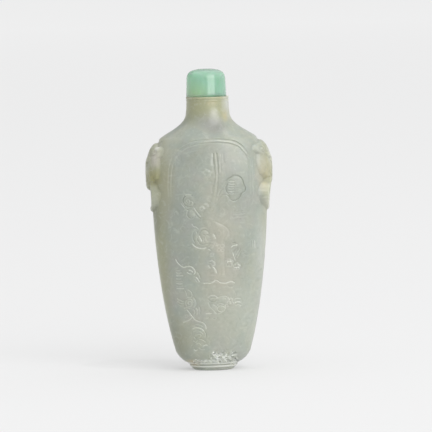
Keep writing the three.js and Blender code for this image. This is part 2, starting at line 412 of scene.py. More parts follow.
def relief_height(points, strokes, mounds):
    """Height of the carving and paleness of its edges at each (x, z) point, in millimetres."""
    raised, sunk, pale = np.zeros(len(points)), np.zeros(len(points)), np.zeros(len(points))
    for mound in mounds:
        inside = mound_share(points, mound)
        dome = np.sqrt(np.clip(inside, 0, 1)) * ease(inside * MOUND_START)
        raised = np.maximum(raised, mound.rise * dome)
    for stroke in strokes:
        index, gap, share = near_path(points, stroke.path, stroke.half.max())
        inside = 1 - gap / along_path(stroke.half, share)
        rise = along_path(stroke.rise, share)
        if stroke.rise.max() > 0:
            raised[index] = np.maximum(raised[index], rise * ease(inside * RIDGE_START))
        else:
            sunk[index] = np.minimum(sunk[index], rise * ease(inside * CUT_START))
        pale[index] = np.maximum(pale[index], stroke.pale * ease(inside * PALE_START))
    return raised + sunk, pale


def carving_reach(points, strokes, mounds, margin, faint=True):
    """Whether each point is within a margin of a stroke or of a mound's edge."""
    near = np.zeros(len(points), bool)
    for stroke in strokes:
        if faint or stroke.rise.min() < -FAINT_DEPTH and stroke.rise.max() < 0:
            near[near_path(points, stroke.path, stroke.half.max() + margin)[0]] = True
    if faint:
        for mound in mounds:
            near |= np.abs(mound_share(points, mound)) < margin
    return near


# ---- The landscape on the face --------------------------------------------------------------


def bright(points, depth=0.14):
    """A bold cut with a pale painted highlight along it."""
    return cut(points, 0.29, depth, 0.78)


def fine(points, pale=0.35, depth=0.11):
    """A thin cut with a little pale edge."""
    return cut(points, 0.27, depth, pale)


def dark(points, depth=0.16, width=0.36):
    """A deep cut without a pale edge."""
    return cut(points, width, depth)


def joined(strokes, mounds, motifs):
    """A motif's own strokes and mounds with those of whole smaller motifs."""
    for more_strokes, more_mounds in motifs:
        strokes = strokes + more_strokes
        mounds = mounds + more_mounds
    return strokes, mounds


def ringlet(x, z, radius):
    """A small cut ring with a raised middle."""
    rim = fine(arc(x, z, radius, 0, 360, 1, 10), 0.3, 0.1)
    return [rim], [Mound(x, z, radius, radius, 0.08, 0)]


def arched_border():
    """Two cut lines that arch over the scene and fade out down its sides."""
    outer = [
        (-10.3, 44.5), (-10.25, 48), (-9.95, 51.5), (-9.1, 54.2), (-7.3, 56.4), (-4.4, 57.9),
        (-1, 58.4), (2, 58.55), (4.3, 58.35), (6.3, 58.0), (7.7, 57.25), (8.8, 56.3), (9.8, 55.0),
        (10.6, 53.3), (10.9, 51), (11, 48), (11.1, 44.5),
    ]
    inner = [
        (-9.6, 44.5), (-9.5, 48), (-9.1, 51.5), (-8.2, 53.8), (-6.4, 55.7), (-3.8, 57.1),
        (-0.8, 57.6), (2.3, 57.7), (4.8, 57.45), (6.3, 57.05), (7.4, 56.5), (8.2, 55.8), (8.9, 55.0),
        (9.7, 53.6), (10.1, 51.5), (10.3, 48), (10.4, 44.5),
    ]
    depth = [0.03, 0.05, 0.05, 0.06, 0.09, 0.14, 0.17, 0.15, 0.1, 0.06, 0.03]
    lines = [cut(path, 0.4, depth, 0.12) for path in (outer, inner)]
    middle = [(-1, 58), (2, 58.12), (4.6, 57.9), (6.3, 57.5), (7.5, 56.9), (8.5, 56.05), (9.6, 54.6)]
    band = ridge(middle, [0.2, 0.45, 0.45, 0.2], [0.02, 0.05, 0.04, 0.02], 0.3)
    return [*lines, band], []


def blossom(x, z, radius, pale=0.3):
    """A ring of five small petals round a raised eye."""
    eye, petal, rim, out = radius * 0.28, radius * 0.42, radius * 0.46, radius * 0.58
    strokes, mounds = [], [Mound(x, z, eye, eye, 0.12, 0)]
    for i in range(5):
        angle = 0.3 + 2 * math.pi * i / 5
        px, pz = x + out * math.cos(angle), z + out * math.sin(angle)
        opening = math.degrees(angle)
        mounds.append(Mound(px, pz, petal, petal, 0.1, 0))
        strokes.append(fine(arc(px, pz, rim, opening - 110, opening + 110, 1, 8), pale, 0.1))
    return strokes, mounds


def pine_fan():
    """The large fan of pine needles at the upper right, its rim lobed and its needles level."""
    rim = [
        (4.2, 48.0), (4.7, 48.5), (5.4, 48.9), (6.2, 49.3), (7.1, 49.2), (7.9, 48.8), (8.4, 48.0),
        (8.65, 47.0), (9.0, 46.1), (8.7, 45.2), (8.1, 44.9), (7.8, 44.2), (7.1, 43.4), (6.0, 43.0),
        (5.1, 43.3),
    ]
    strokes = [
        dark(rim, [0.12, 0.17, 0.19, 0.19, 0.17, 0.12]),
        dark([(4.6, 47.2), (4.2, 46.7), (4.0, 46.1), (4.3, 45.3), (4.9, 44.6)], 0.12),
        fine([(2.2, 44.5), (2.7, 45.4), (3.3, 45.9)], 0.15),
        fine([(2.0, 43.4), (3.2, 44.4), (4.2, 44.5), (4.9, 43.9)], 0.15),
        fine([(3.4, 46.9), (3.9, 47.4), (4.1, 48.0)], 0.1, 0.08),
    ]
    for i in range(6):
        level = 47.9 - 0.62 * i
        strokes.append(fine([(4.9, level + 0.1), (5.6, level), (6.3 - 0.05 * i, level + 0.06)], 0.3))
        strokes.append(fine([(6.6, level + 0.1), (7.5, level + 0.1)], 0.05, 0.05))
    return strokes, [Mound(6.6, 46.1, 2.4, 3.1, 0.12, 0)]


def pine_trunk():
    """The tall trunk: two lines at its top that part into a broad gnarled foot."""
    middle = [
        (1.6, 54.8), (1.8, 50), (1.4, 46.5), (0.8, 42.8), (-0.3, 39.6), (0.4, 37), (1.9, 34.6),
        (1.5, 31), (1.4, 27), (1.6, 23.2),
    ]
    left = [(1.15, 54.9), (1.15, 53), (1.4, 51), (1.5, 49), (1.0, 46.5), (0.7, 44.5)]
    right = [(2.0, 54.9), (2.2, 52.5), (2.35, 50.5), (2.2, 48.5), (1.9, 46), (1.5, 43.8), (1.3, 42.2)]
    bulge = [
        (1.3, 42.2), (0.6, 41), (0.5, 39.6), (0.8, 38.3), (1.7, 37.7), (3.0, 37.1), (4.1, 36.3),
        (4.8, 35.3), (4.6, 34.2),
    ]
    flank = [(4.6, 34.2), (3.8, 33.2), (3.5, 31.4), (3.4, 29), (3.3, 26.5), (3.5, 24.5)]
    stem = [(-0.3, 48.7), (0.2, 48.2), (0.6, 47), (0.7, 45.6), (0.3, 44.1), (-0.1, 42.9), (-0.5, 41.4)]
    edge = [(-1.7, 40.6), (-2.0, 39), (-1.9, 37.4), (-0.8, 36.4), (-0.5, 34.4), (-0.6, 32.4)]
    widths = [0.8, 0.9, 1.1, 1.8, 3.2, 4.2, 5.4, 4.8, 4.4, 4.4]
    strokes = [
        ridge(middle, widths, [0.07, 0.1, 0.1, 0.1, 0.1, 0.1, 0.08]),
        dark(left, [0.13, 0.13, 0.1, 0.07]),
        dark(right, [0.15, 0.15, 0.12, 0.09, 0.07]),
        fine([(0.5, 54.9), (0.6, 53), (0.9, 51.4)], 0.45, 0.07),
        fine([(2.9, 54.7), (2.9, 52.4), (2.8, 50.2)], 0.35, 0.07),
        fine([(3.6, 54.8), (3.7, 53.6), (3.6, 52.6)], 0.1, 0.06),
        fine(stem, 0.2, 0.09),
        fine(bulge, 0.12, 0.09),
        fine(flank, 0.05, 0.07),
        fine(edge, 0.12, 0.07),
        fine([(-0.6, 30.4), (-0.5, 28.6), (-0.7, 27.2)], 0.1, 0.07),
        bright([(0.8, 34.8), (1.05, 34.3), (1.3, 33.7)]),
        bright([(-0.5, 31.0), (-0.2, 30.8)]),
        bright([(0.5, 26.5), (0.9, 26.1), (1.2, 25.6), (1.35, 25.0)]),
        fine([(-0.3, 28.0), (0.3, 28.15), (0.9, 27.7), (0.9, 27.0), (0.3, 26.8)], 0.5),
        fine([(-0.6, 26.8), (-0.3, 26.3)], 0.6),
        fine([(-0.2, 27.4), (0.2, 27.3)], 0.2),
        fine([(0.0, 24.6), (1.1, 24.4)], 0.15, 0.08),
        fine([(2.2, 24.7), (3.3, 24.6)], 0.1, 0.06),
        fine([(-0.3, 38.2), (0.1, 37.4), (-0.2, 36.8)], 0.15, 0.08),
        fine([(2.2, 36.0), (2.8, 35.2), (2.6, 34.4)], 0.1, 0.07),
        fine([(0.0, 33.4), (-0.3, 33.0), (0.5, 32.8), (1.3, 33.0)], 0.2, 0.1),
    ]
    knots = [
        (0.2, 31.7, 0.45), (1.3, 32.3, 0.36), (2.1, 31.8, 0.42), (2.95, 31.8, 0.42),
        (2.1, 30.8, 0.36), (3.0, 30.7, 0.36), (0.3, 29.6, 0.4),
    ]
    return joined(strokes, [], [ringlet(*knot) for knot in knots])


def left_pads():
    """The pads of needles and the crossing twigs at the left of the trunk."""
    strokes = [
        bright([(-6.0, 44.65), (-5.4, 44.85), (-4.6, 44.75)], 0.12),
        dark(arc(-5.2, 43.2, 1.5, 60, 330), [0.09, 0.14, 0.13, 0.09], 0.32),
        fine(spiral(-5.4, 43.2, 0.8, 200, 1.1), 0.2),
        fine(arc(-4.7, 42.6, 0.6, 300, 480, 1, 8), 0.25),
        fine([(-7.1, 42.6), (-6.4, 41.7), (-5.8, 41.0), (-4.9, 40.6)], 0.25),
        fine([(-6.6, 40.7), (-5.9, 41.4), (-5.2, 41.6)], 0.2),
        fine(arc(-4.7, 39.8, 1.05, 60, 350), 0.2, 0.12),
        dark([(-4.6, 39.1), (-4.2, 38.9)], 0.13, 0.3),
        fine([(-3.9, 41.5), (-3.2, 40.4), (-2.3, 39.3)], 0.45, 0.13),
        dark([(-3.6, 39.9), (-3.1, 39.2), (-2.4, 38.7)], 0.13),
        fine([(-4.5, 37.4), (-4.1, 36.8), (-3.6, 36.7), (-3.0, 36.2)], 0.35),
        fine(arc(-8.4, 40.1, 0.5, 0, 200, 1, 8), 0.2, 0.08),
        fine(arc(-6.8, 36.3, 0.6, 20, 260, 1, 8), 0.15, 0.07),
    ]
    mounds = [Mound(-5.2, 43.2, 1.5, 1.5, 0.1, 0), Mound(-4.7, 39.8, 1.0, 1.0, 0.1, 0)]
    flowers = [blossom(-0.4, 50.1, 1.0), blossom(-0.9, 42.0, 0.6), blossom(-1.9, 41.3, 0.55, 0.35)]
    return joined(strokes, mounds, flowers)


def leaf_basket():
    """The round cluster of leaves at the left of the trunk, with a bright line under it."""
    strokes = [
        bright([(-4.5, 32.4), (-3.9, 31.75), (-3.0, 31.35), (-2.0, 31.2), (-1.1, 31.4)], 0.15),
        bright([(-2.8, 34.4), (-2.5, 33.8), (-2.2, 33.1)], 0.12),
        fine([(-3.7, 36.2), (-4.4, 35.2), (-4.5, 33.8), (-4.0, 32.8)], 0.25),
        dark(arc(-1.6, 34.6, 1.25, 20, 250), [0.08, 0.12, 0.1], 0.3),
        fine([(-3.4, 35.4), (-3.2, 34.5), (-3.4, 33.4), (-2.9, 32.6)], 0.2),
        fine([(-1.7, 33.9), (-1.65, 32.9)], 0.2),
        fine([(-1.1, 34.0), (-1.05, 33.1)], 0.25),
        fine([(-0.8, 32.4), (-1.8, 32.1), (-2.8, 32.3)], 0.15),
        dark([(-1.8, 34.7), (-1.4, 34.5)], 0.12, 0.3),
        dark([(-1.0, 34.7), (-0.7, 34.5)], 0.12, 0.3),
        fine([(-2.2, 36.4), (-1.2, 36.5), (-0.5, 36.1)], 0.15, 0.09),
        fine([(-6.2, 31.8), (-5.4, 31.5), (-4.8, 31.8)], 0.1, 0.07),
    ]
    return strokes, [Mound(-2.4, 34.0, 2.1, 2.3, 0.12, 0)]


def right_sprigs():
    """Leaves, blossoms and a few loose strokes at the right of the trunk."""
    strokes = [
        bright([(5.2, 31.4), (5.8, 31.8), (6.7, 31.95)], 0.13),
        dark([(5.5, 32.3), (6.1, 32.4)], 0.13, 0.32),
        fine([(7.3, 30.8), (6.7, 29.8), (6.1, 28.9)], 0.25),
        fine([(6.7, 30.9), (6.2, 30.2), (5.8, 29.5)], 0.2),
        fine([(7.5, 30.1), (7.1, 29.3), (6.7, 28.7)], 0.15),
        bright([(5.55, 29.9), (5.75, 29.1)], 0.12),
        fine([(5.9, 28.8), (6.1, 28.1)], 0.6),
        bright([(4.1, 27.6), (4.6, 27.9), (5.1, 27.7)], 0.12),
        bright([(5.9, 26.15), (6.9, 26.2)], 0.11),
        fine([(6.8, 26.9), (7.2, 26.7)], 0.6),
        fine([(8.0, 30.0), (8.6, 29.3), (9.4, 29.2)], 0.08, 0.07),
    ]
    for x, pale in ((10.2, 0), (10.65, 0.1), (11.15, 0.5)):
        strokes.append(fine([(x, 32.7), (x + 0.04, 30.9)], pale, 0.1))
    for z, pale in ((40.3, 0), (39.7, 0.1), (39.0, 0)):
        strokes.append(fine([(5.9, z), (7.3, z - 0.1), (8.9, z + 0.1)], pale, 0.05))
    flowers = [blossom(4.6, 27.5, 0.95, 0.25), blossom(6.5, 26.5, 0.85, 0.25)]
    return joined(strokes, [], flowers)


def rocks_and_ground():
    """The ground line and the crouching rock below it, with its scales and ledges."""
    ground = [
        (-1.9, 22.4), (-1.2, 22.5), (-0.3, 22.4), (0.6, 22.8), (1.1, 23.2), (1.7, 22.9),
        (2.3, 22.5), (3.6, 22.4), (4.6, 22.7), (5.2, 22.7), (5.8, 22.4),
    ]
    mounds = [
        Mound(0.4, 18.3, 1.3, 0.7, 0.16, 0),
        Mound(2.4, 15.8, 1.3, 0.8, 0.16, 0.7),
        Mound(2.6, 17.6, 1.9, 1.1, 0.12, 0),
        Mound(4.6, 17.6, 1.4, 1.0, 0.12, -0.3),
        Mound(0.9, 16.3, 1.5, 1.4, 0.1, 0.2),
    ]
    strokes = [
        cut(ground, 0.26, [0.11, 0.12, 0.15, 0.11, 0.13], 0.65),
        dark([(-0.4, 18.75), (0.2, 18.7), (0.8, 18.75)], 0.15, 0.32),
        fine([(-0.9, 18.8), (-0.2, 19.3), (0.6, 19.35), (1.2, 19.0)], 0.45),
        fine([(-0.9, 18.2), (-0.2, 17.75), (0.7, 17.7), (1.5, 18.0)], 0.15),
        fine([(-0.9, 17.5), (-0.5, 16.5), (0.3, 15.6), (1.0, 14.8)], 0.25),
        fine([(1.3, 18.7), (2.3, 19.0), (3.3, 19.1), (4.2, 18.7)], 0.35),
        fine([(1.5, 14.6), (2.3, 14.9), (3.1, 15.4), (3.5, 16.3)], 0.5),
        fine(arc(2.3, 15.9, 0.95, 30, 300, 0.8), 0.4),
        fine([(1.4, 16.9), (2.1, 17.3), (3.0, 17.0)], 0.25),
        fine([(0.4, 17.0), (1.2, 16.4), (1.4, 15.6)], 0.2),
        bright([(5.8, 17.3), (6.4, 17.55), (7.1, 17.45)], 0.11),
        fine([(5.9, 18.3), (6.5, 18.45), (7.2, 18.3)], 0.35),
        fine([(5.9, 16.7), (6.7, 16.8), (7.3, 16.6)], 0.2),
        bright([(-1.5, 14.7), (-0.9, 14.8), (-0.3, 14.7)], 0.1),
        fine([(-1.3, 13.5), (-0.9, 13.7)], 0.4),
        fine([(0.1, 13.4), (0.7, 13.2), (1.1, 13.5)], 0.3),
        fine([(4.0, 21.6), (4.9, 21.2), (5.7, 21.6)], 0.15, 0.08),
        fine([(0.9, 22.1), (1.0, 21.2)], 0.15, 0.07),
        fine([(-2.3, 21.0), (-1.6, 21.2), (-1.0, 20.9)], 0.15, 0.07),
        fine([(5.5, 20.6), (6.0, 19.6), (6.0, 18.9)], 0.1, 0.06),
        fine([(7.4, 18.0), (7.5, 17.0)], 0.1, 0.06),
    ]
    scales = [
        (3.9, 18.4, 0.4), (4.8, 18.2, 0.38), (4.3, 17.4, 0.42), (5.2, 17.2, 0.36),
        (3.7, 16.6, 0.36),
    ]
    strokes += [fine(arc(x, z, radius, -30, 190, 1, 8), 0.35) for x, z, radius in scales]
    return strokes, mounds


def scroll_and_comb():
    """The bright scroll at the left and the column of level strokes below it."""
    scroll = [
        (-8.85, 28.5), (-8.4, 27.7), (-7.6, 26.9), (-6.9, 26.55), (-6.1, 26.7), (-5.3, 26.75),
        (-4.6, 26.45), (-4.15, 25.9), (-4.0, 25.3), (-4.3, 24.8),
    ]
    strokes = [
        bright(scroll, [0.13, 0.16, 0.16, 0.15, 0.16, 0.15, 0.1]),
        bright([(-5.5, 25.8), (-5.0, 25.65), (-4.6, 25.3)], 0.13),
        bright([(-6.0, 25.2), (-5.6, 24.95), (-5.1, 24.85)], 0.12),
        dark([(-5.8, 26.1), (-5.3, 26.2), (-4.9, 25.9)], 0.14, 0.3),
        bright([(-3.8, 24.0), (-3.4, 23.5), (-3.05, 22.9)], 0.14),
        fine([(-3.4, 25.2), (-3.0, 24.4), (-2.8, 23.7)], 0.15),
        fine([(-4.0, 23.4), (-3.6, 22.8)], 0.2),
        fine([(-6.9, 28.4), (-6.3, 29.0), (-5.4, 29.3)], 0.1, 0.07),
        fine([(-7.4, 28.2), (-6.6, 28.6)], 0.15, 0.07),
    ]
    left = -8.75
    teeth = (
        (25.7, 0.7, 0.3), (25.1, 1.2, 0.4), (24.4, 1.6, 0.55), (23.6, 1.1, 0.35), (22.9, 1.5, 0.15),
        (22.4, 1.4, 0.4), (21.8, 1.5, 0.15), (21.1, 1.7, 0.65),
    )
    for z, length, pale in teeth:
        tooth = [(left, z + 0.05), (left + length / 2, z), (left + length, z + 0.05)]
        strokes.append(fine(tooth, pale))
    return strokes, [Mound(-5.1, 25.7, 0.95, 0.8, 0.08, 0)]


def scrolling_leaves():
    """The curled leaves, the forked branch and the hatched leaves down the lower left."""
    branch = [
        (-6.2, 15.6), (-5.6, 14.9), (-5.1, 14.2), (-4.5, 13.4), (-3.9, 13.0), (-3.1, 12.7),
        (-2.3, 12.4), (-1.7, 11.7), (-1.6, 10.9),
    ]
    strokes = [
        cut(branch, 0.3, [0.1, 0.14, 0.17, 0.14, 0.13, 0.1], 0.62),
        bright([(-4.95, 14.0), (-4.5, 13.35)], 0.17),
        cut([(-7.3, 12.5), (-6.3, 12.85), (-5.6, 13.3), (-5.1, 13.8)], 0.32, 0.13, 0.6),
        fine([(-5.9, 20.8), (-5.2, 20.3), (-4.9, 19.5), (-5.3, 18.95), (-6.1, 19.0)], 0.35),
        fine([(-4.6, 18.8), (-4.1, 18.1), (-4.0, 17.2), (-4.5, 16.4)], 0.35),
        fine([(-5.0, 18.3), (-4.7, 17.7)], 0.2),
        fine(spiral(-5.6, 17.4, 1.2, 60, 1.5, 22), 0.3),
        fine([(-6.7, 20.6), (-6.4, 20.0), (-6.3, 19.3)], 0.2),
        dark([(-7.1, 18.15), (-6.7, 18.25), (-6.2, 18.4)], 0.14, 0.32),
        fine([(-8.7, 18.6), (-7.9, 18.15), (-7.2, 17.8)], 0.45),
        fine([(-8.6, 17.8), (-7.9, 17.4), (-7.1, 17.3)], 0.35),
        fine([(-8.4, 17.0), (-7.8, 16.8), (-7.2, 16.8)], 0.25),
        fine([(-7.0, 16.2), (-6.3, 16.3), (-5.6, 16.1)], 0.4),
        fine([(-6.9, 15.7), (-6.2, 15.8)], 0.2),
        fine([(-4.0, 16.2), (-3.6, 15.4), (-3.8, 14.6)], 0.3),
        fine([(-4.6, 15.8), (-4.3, 15.1), (-4.6, 14.5)], 0.2),
        fine([(-3.2, 16.4), (-3.0, 15.6), (-3.2, 14.8)], 0.2),
        fine(spiral(-6.6, 14.3, 0.65, 200, 1.1), 0.2, 0.1),
        bright([(-4.95, 10.95), (-4.3, 11.25), (-3.5, 11.15), (-2.7, 10.85), (-2.2, 10.4)], 0.16),
        fine([(-5.0, 11.7), (-4.2, 11.95), (-3.2, 11.9), (-2.4, 11.5)], 0.3),
        fine([(-4.8, 10.2), (-4.0, 10.45), (-3.0, 10.2), (-2.4, 9.7)], 0.3),
        fine([(-2.1, 10.2), (-1.7, 9.5), (-1.9, 8.8)], 0.25),
        fine([(-4.3, 9.4), (-3.4, 9.6), (-2.8, 9.2)], 0.3),
        fine([(-5.8, 8.9), (-5.3, 9.4), (-5.4, 10.1)], 0.15, 0.09),
        fine([(-4.7, 8.8), (-4.3, 8.3), (-3.6, 8.6), (-2.9, 9.0)], 0.3),
        fine([(-3.4, 8.3), (-2.6, 8.1), (-1.9, 7.6)], 0.3),
        fine([(-4.9, 7.8), (-4.3, 7.5), (-3.9, 7.9)], 0.4),
        fine([(-4.1, 7.0), (-3.5, 7.3), (-3.0, 6.8)], 0.4),
        bright([(-2.4, 6.5), (-1.9, 6.75), (-1.4, 6.7)], 0.1),
        fine([(-5.4, 6.6), (-5.0, 6.9)], 0.4),
        bright([(-4.8, 5.6), (-4.4, 5.3), (-4.0, 5.5)], 0.1),
        fine([(-3.5, 6.1), (-2.9, 5.6), (-2.1, 5.6)], 0.3),
        fine([(-1.3, 8.2), (-0.7, 7.6), (-0.9, 6.9)], 0.12, 0.07),
    ]
    mounds = [
        Mound(-5.6, 17.4, 1.4, 1.6, 0.12, 0),
        Mound(-3.6, 9.9, 1.6, 1.5, 0.12, 0),
        Mound(-3.7, 6.7, 1.4, 1.0, 0.08, 0),
    ]
    return strokes, mounds


def face_scene():
    """Every stroke and mound on the carved face."""
    makers = (
        arched_border, pine_trunk, pine_fan, left_pads, leaf_basket, right_sprigs,
        rocks_and_ground, scroll_and_comb, scrolling_leaves,
    )
    return joined([], [], [make() for make in makers])


def needle_pad(x, z, radius):
    """A round pad of pine needles: an open rim round level cuts."""
    strokes = [cut(arc(x, z, radius, -60, 220), 0.36, 0.13, 0.5)]
    left, right = x - radius * 0.7, x + radius * 0.3
    for share in (0.66, 0.33, 0, -0.33, -0.66):
        level = z + radius * share
        strokes.append(fine([(left, level - 0.1), (x, level), (right, level)], 0.45))
    return strokes, [Mound(x, z, radius, radius, 0.14, 0)]


def back_scene():
    """The plainer back: one pine on a rock, seen with x to the right from behind."""
    trunk = [(0.6, 19), (-0.6, 25), (0.8, 32), (-0.5, 39), (1.2, 46)]
    pads = [needle_pad(6.2, 34.6, 2.2), needle_pad(-5.8, 39.8, 2.2), needle_pad(1.4, 47, 2.3)]
    strokes = [
        ridge(trunk, [2.6, 2.2, 1.8, 1.3, 0.8], [0.3, 0.3, 0.24], 0.3),
        ridge([(0.8, 33), (3, 35), (5, 34.6)], [1.0, 0.5], [0.24, 0.18], 0.4),
        ridge([(-0.5, 38), (-3, 40), (-5, 39.6)], [1.0, 0.5], [0.24, 0.18], 0.4),
        fine([(-4.6, 17.4), (-3.2, 18.9), (-1.4, 19.1), (-0.4, 18)], 0.5),
        fine([(0.4, 18.2), (2, 18.4), (4.2, 17.6), (5.2, 16.4)], 0.5),
        bright([(-4.4, 15.6), (-1.5, 15.2), (1.5, 15.5), (4.6, 15.1)], 0.12),
    ]
    mounds = [Mound(-2.4, 17.6, 2.4, 1.7, 0.2, 0.3), Mound(2.2, 17, 2.8, 1.4, 0.2, -0.2)]
    return joined(strokes, mounds, pads)


# ---- The mask and ring on a narrow side -----------------------------------------------------

MASK_MIDDLE = 52.2
RING_MIDDLE = 44.6
RING_RADIUS = 3.7
RING_BAND = 1.5
RING_SPREAD = 1.27
# The two handles differ a little, as hand work does: the ring's reach and lean, the mask's
# middle and scale, and the depth and height of the notch above it.
HANDLES = (
    Handle(1, 15.45, 0.11, 52.4, 0.955, 0.2, 58.1),
    Handle(-1, 14.95, 0.04, 51.8, 1.0, 0.25, 57.6),
)


def boss(y, up, cy, cz, across, high, rise, base=0.0, turn=0.0, power=2.0):
    """A rounded boss: its height over the side at each place, and 0 outside it.

    cy and cz are its middle, base is how high its edge stands, and turn is in radians.
    """
    c, s = math.cos(turn), math.sin(turn)
    dy, dz = y - cy, up - cz
    u, v = np.abs(dy * c + dz * s) / across, np.abs(dz * c - dy * s) / high
    inside = np.clip(1 - u**power - v**power, 0, 1)
    return np.where(inside > 0, base + rise * inside ** (1 / power), 0)


def groove(y, up, points, width, depth):
    """A cut line in the mask, the same on both sides of its middle."""
    spots = np.stack([np.abs(y), up], axis=1)
    index, gap, _ = near_path(spots, smooth_path(points), width / 2)
    sunk = np.zeros(len(y))
    sunk[index] = depth * ease(1.3 - 1.3 * gap / (width / 2))
    return sunk


def blended(forms, blend=0.16):
    """The highest of several bosses at each place, with soft valleys where they meet."""
    height = np.maximum.reduce(forms)
    total = sum(np.where(form > 0, np.exp((form - height) / blend), 0) for form in forms)
    return np.where(height > 0, height + blend * np.log(np.maximum(total, 1)), 0)


def mask_height(y, up):
    """Height of the mask over the plain side: a smooth dome with a low face, ears and locks."""
    away = np.abs(y)
    field = boss(y, up, 0, 0, 4.9, 5.7, 1.5, 0, 0, 2.7)
    muzzle = boss(y, up, 0, -2.4, 3.4, 3.8, 1.6, 0, 0, 3.0)
    nose = boss(y, up, 0, -0.3, 1.0, 2.2, 0.5, 1.25, 0, 2.4)
    nostrils = boss(away, up, 0.85, -1.8, 0.7, 0.55, 0.3, 1.5)
    brows = boss(away, up, 1.9, 1.7, 1.8, 0.7, 0.3, 1.35, 0.3)
    eyes = boss(away, up, 1.8, 0.5, 0.8, 0.5, 0.3, 1.3)
    cheeks = boss(away, up, 3.3, -2.0, 1.3, 2.0, 0.5, 0.8, 0.15)
    ears = boss(away, up, 4.35, 3.4, 1.3, 1.5, 0.85, 0.5, -0.25)
    locks = boss(away, up, 4.75, -0.3, 0.8, 3.0, 0.55, 0.4, 0.04)
    forms = [field, muzzle, nose, nostrils, brows, eyes, cheeks, ears, locks]
    brow_line = groove(y, up, [(0.9, 2.6), (2.2, 2.8), (3.2, 2.2)], 0.4, 0.16)
    forehead = groove(y, up, [(0.5, 4.0), (1.3, 4.4), (2.0, 4.0)], 0.36, 0.14)
    eye_top = groove(y, up, [(1.0, 1.0), (1.8, 1.1), (2.7, 0.6)], 0.34, 0.2)
    eye_foot = groove(y, up, [(1.1, -0.1), (1.8, -0.2), (2.6, 0.2)], 0.32, 0.16)
    lip = groove(y, up, [(0.6, -2.9), (1.7, -3.0), (2.7, -2.2)], 0.34, 0.18)
    jaw = groove(y, up, [(0.0, -4.3), (1.4, -4.2), (2.7, -3.6), (3.6, -2.2)], 0.36, 0.2)
    lock_line = groove(y, up, [(3.6, 2.2), (3.9, 0.8), (3.8, -0.8), (4.3, -2.2)], 0.36, 0.2)
    ear_curl = groove(y, up, spiral(4.35, 3.5, 0.85, 200, 1.2), 0.36, 0.34)
    parting = groove(y, up, [(0.0, 2.4), (0.0, 4.4)], 0.3, 0.1)
    lines = [brow_line, forehead, eye_top, eye_foot, lip, jaw, lock_line, ear_curl, parting]
    return np.maximum(blended(forms) - np.maximum.reduce(lines), 0)


def notch_depth(y, z, handle):
    """Depth of the notch that sets the top of the mask off from the shoulder."""
    across = ease((4.6 - np.abs(y)) / 1.2)
    return handle.notch_depth * across * ease(1.25 - np.abs(z - handle.notch_height) / 0.7)


def from_ring(y, z):
    """Distance from the middle of the ring's band, which is wider than it is tall."""
    return np.abs(np.hypot(y / RING_SPREAD, z - RING_MIDDLE) - RING_RADIUS)


def ring_height(y, z, surface, handle):
    """Height of the ring over the side: a rounded band that leans in towards its foot."""
    least, roundness, room, bow = 0.55, 0.45, 0.05, 0.01
    gap = np.clip(from_ring(y, z) / (RING_BAND / 2), 0, 1)
    front = handle.ring_reach + handle.lean * (z - RING_MIDDLE)
    plane = np.minimum(front, MASK_REACH - room) - bow * y**2
    crown = np.maximum(plane - surface, least) - roundness * (1 - np.sqrt(1 - gap**2))
    return np.where(gap < 1, np.maximum(crown, 0), 0)


def soft_cap(height, limit, blend=0.12):
    """Keep a height under a limit, with a rounded edge where it meets it."""
    return np.where(height > 0, -blend * np.logaddexp(-height / blend, -limit / blend), 0)


# ---- Breaks along the lower front edge ------------------------------------------------------

CHIP_LEFT = -5.2
CHIP_RIGHT = 6.5
CHIP_LOW = 1.0
CHIP_HIGH = 5.1
CHIP_COUNT = 190
CHIP_TILT = 0.55
# The main break right of the middle, a strip just over the foot, and one near each end.
STRIP = Break(-1.0, 2.55, 4.3, 0.4, 0.3)
BREAKS = (
    Break(2.7, 3.5, 3.8, 1.3, 1.0),
    STRIP,
    Break(-4.3, 2.1, 0.9, 0.45, 0.0),
    Break(5.3, 1.7, 1.1, 0.6, 0.0),
)


def break_share(x, z, broken):
    """How far inside a break each point is: 1 in its middle, 0 at its ragged edge."""
    ragged = broken.ragged * (0.25 * np.sin(2.7 * x + 0.6) + 0.18 * np.sin(6.9 * x + 1))
    across = np.abs(x - broken.x) / broken.half_width
    return 1 - np.maximum(across, np.abs(z - broken.z - ragged) / broken.half_height)


def chip_depth(x, z):
    """Depth and paleness of the small broken facets: each is flat and tilts its own way, and its
    paleness is a painted glint.
    """
    rng = np.random.default_rng(11)
    seeds_x = rng.uniform(CHIP_LEFT, CHIP_RIGHT, CHIP_COUNT)
    seeds = np.stack([seeds_x, rng.uniform(CHIP_LOW, CHIP_HIGH, CHIP_COUNT)], axis=1)
    tilt = rng.uniform(-CHIP_TILT, CHIP_TILT, (CHIP_COUNT, 2))
    base = rng.uniform(0.1, 0.36, CHIP_COUNT)
    # Painted glints: each facet from none to fully pale.
    glint = 1.1 * ease(1.6 * rng.random(CHIP_COUNT) - 0.25)
    spots = np.stack([x, z], axis=1)
    # Facets are wider than they are tall.
    stretch = (0.65, 1)
    owner = np.argmin((((spots[:, None] - seeds) * stretch) ** 2).sum(axis=2), axis=1)
    depth = base[owner] + ((spots - seeds[owner]) * tilt[owner]).sum(axis=1)
    inside = ease(np.maximum.reduce([break_share(x, z, broken) for broken in BREAKS]) * 5)
    pale = np.maximum(glint[owner] * inside, 0.7 * ease(break_share(x, z, STRIP) * 3))
    return np.clip(depth, 0.02, 0.5) * inside, pale


# ---- Making the bottle ----------------------------------------------------------------------


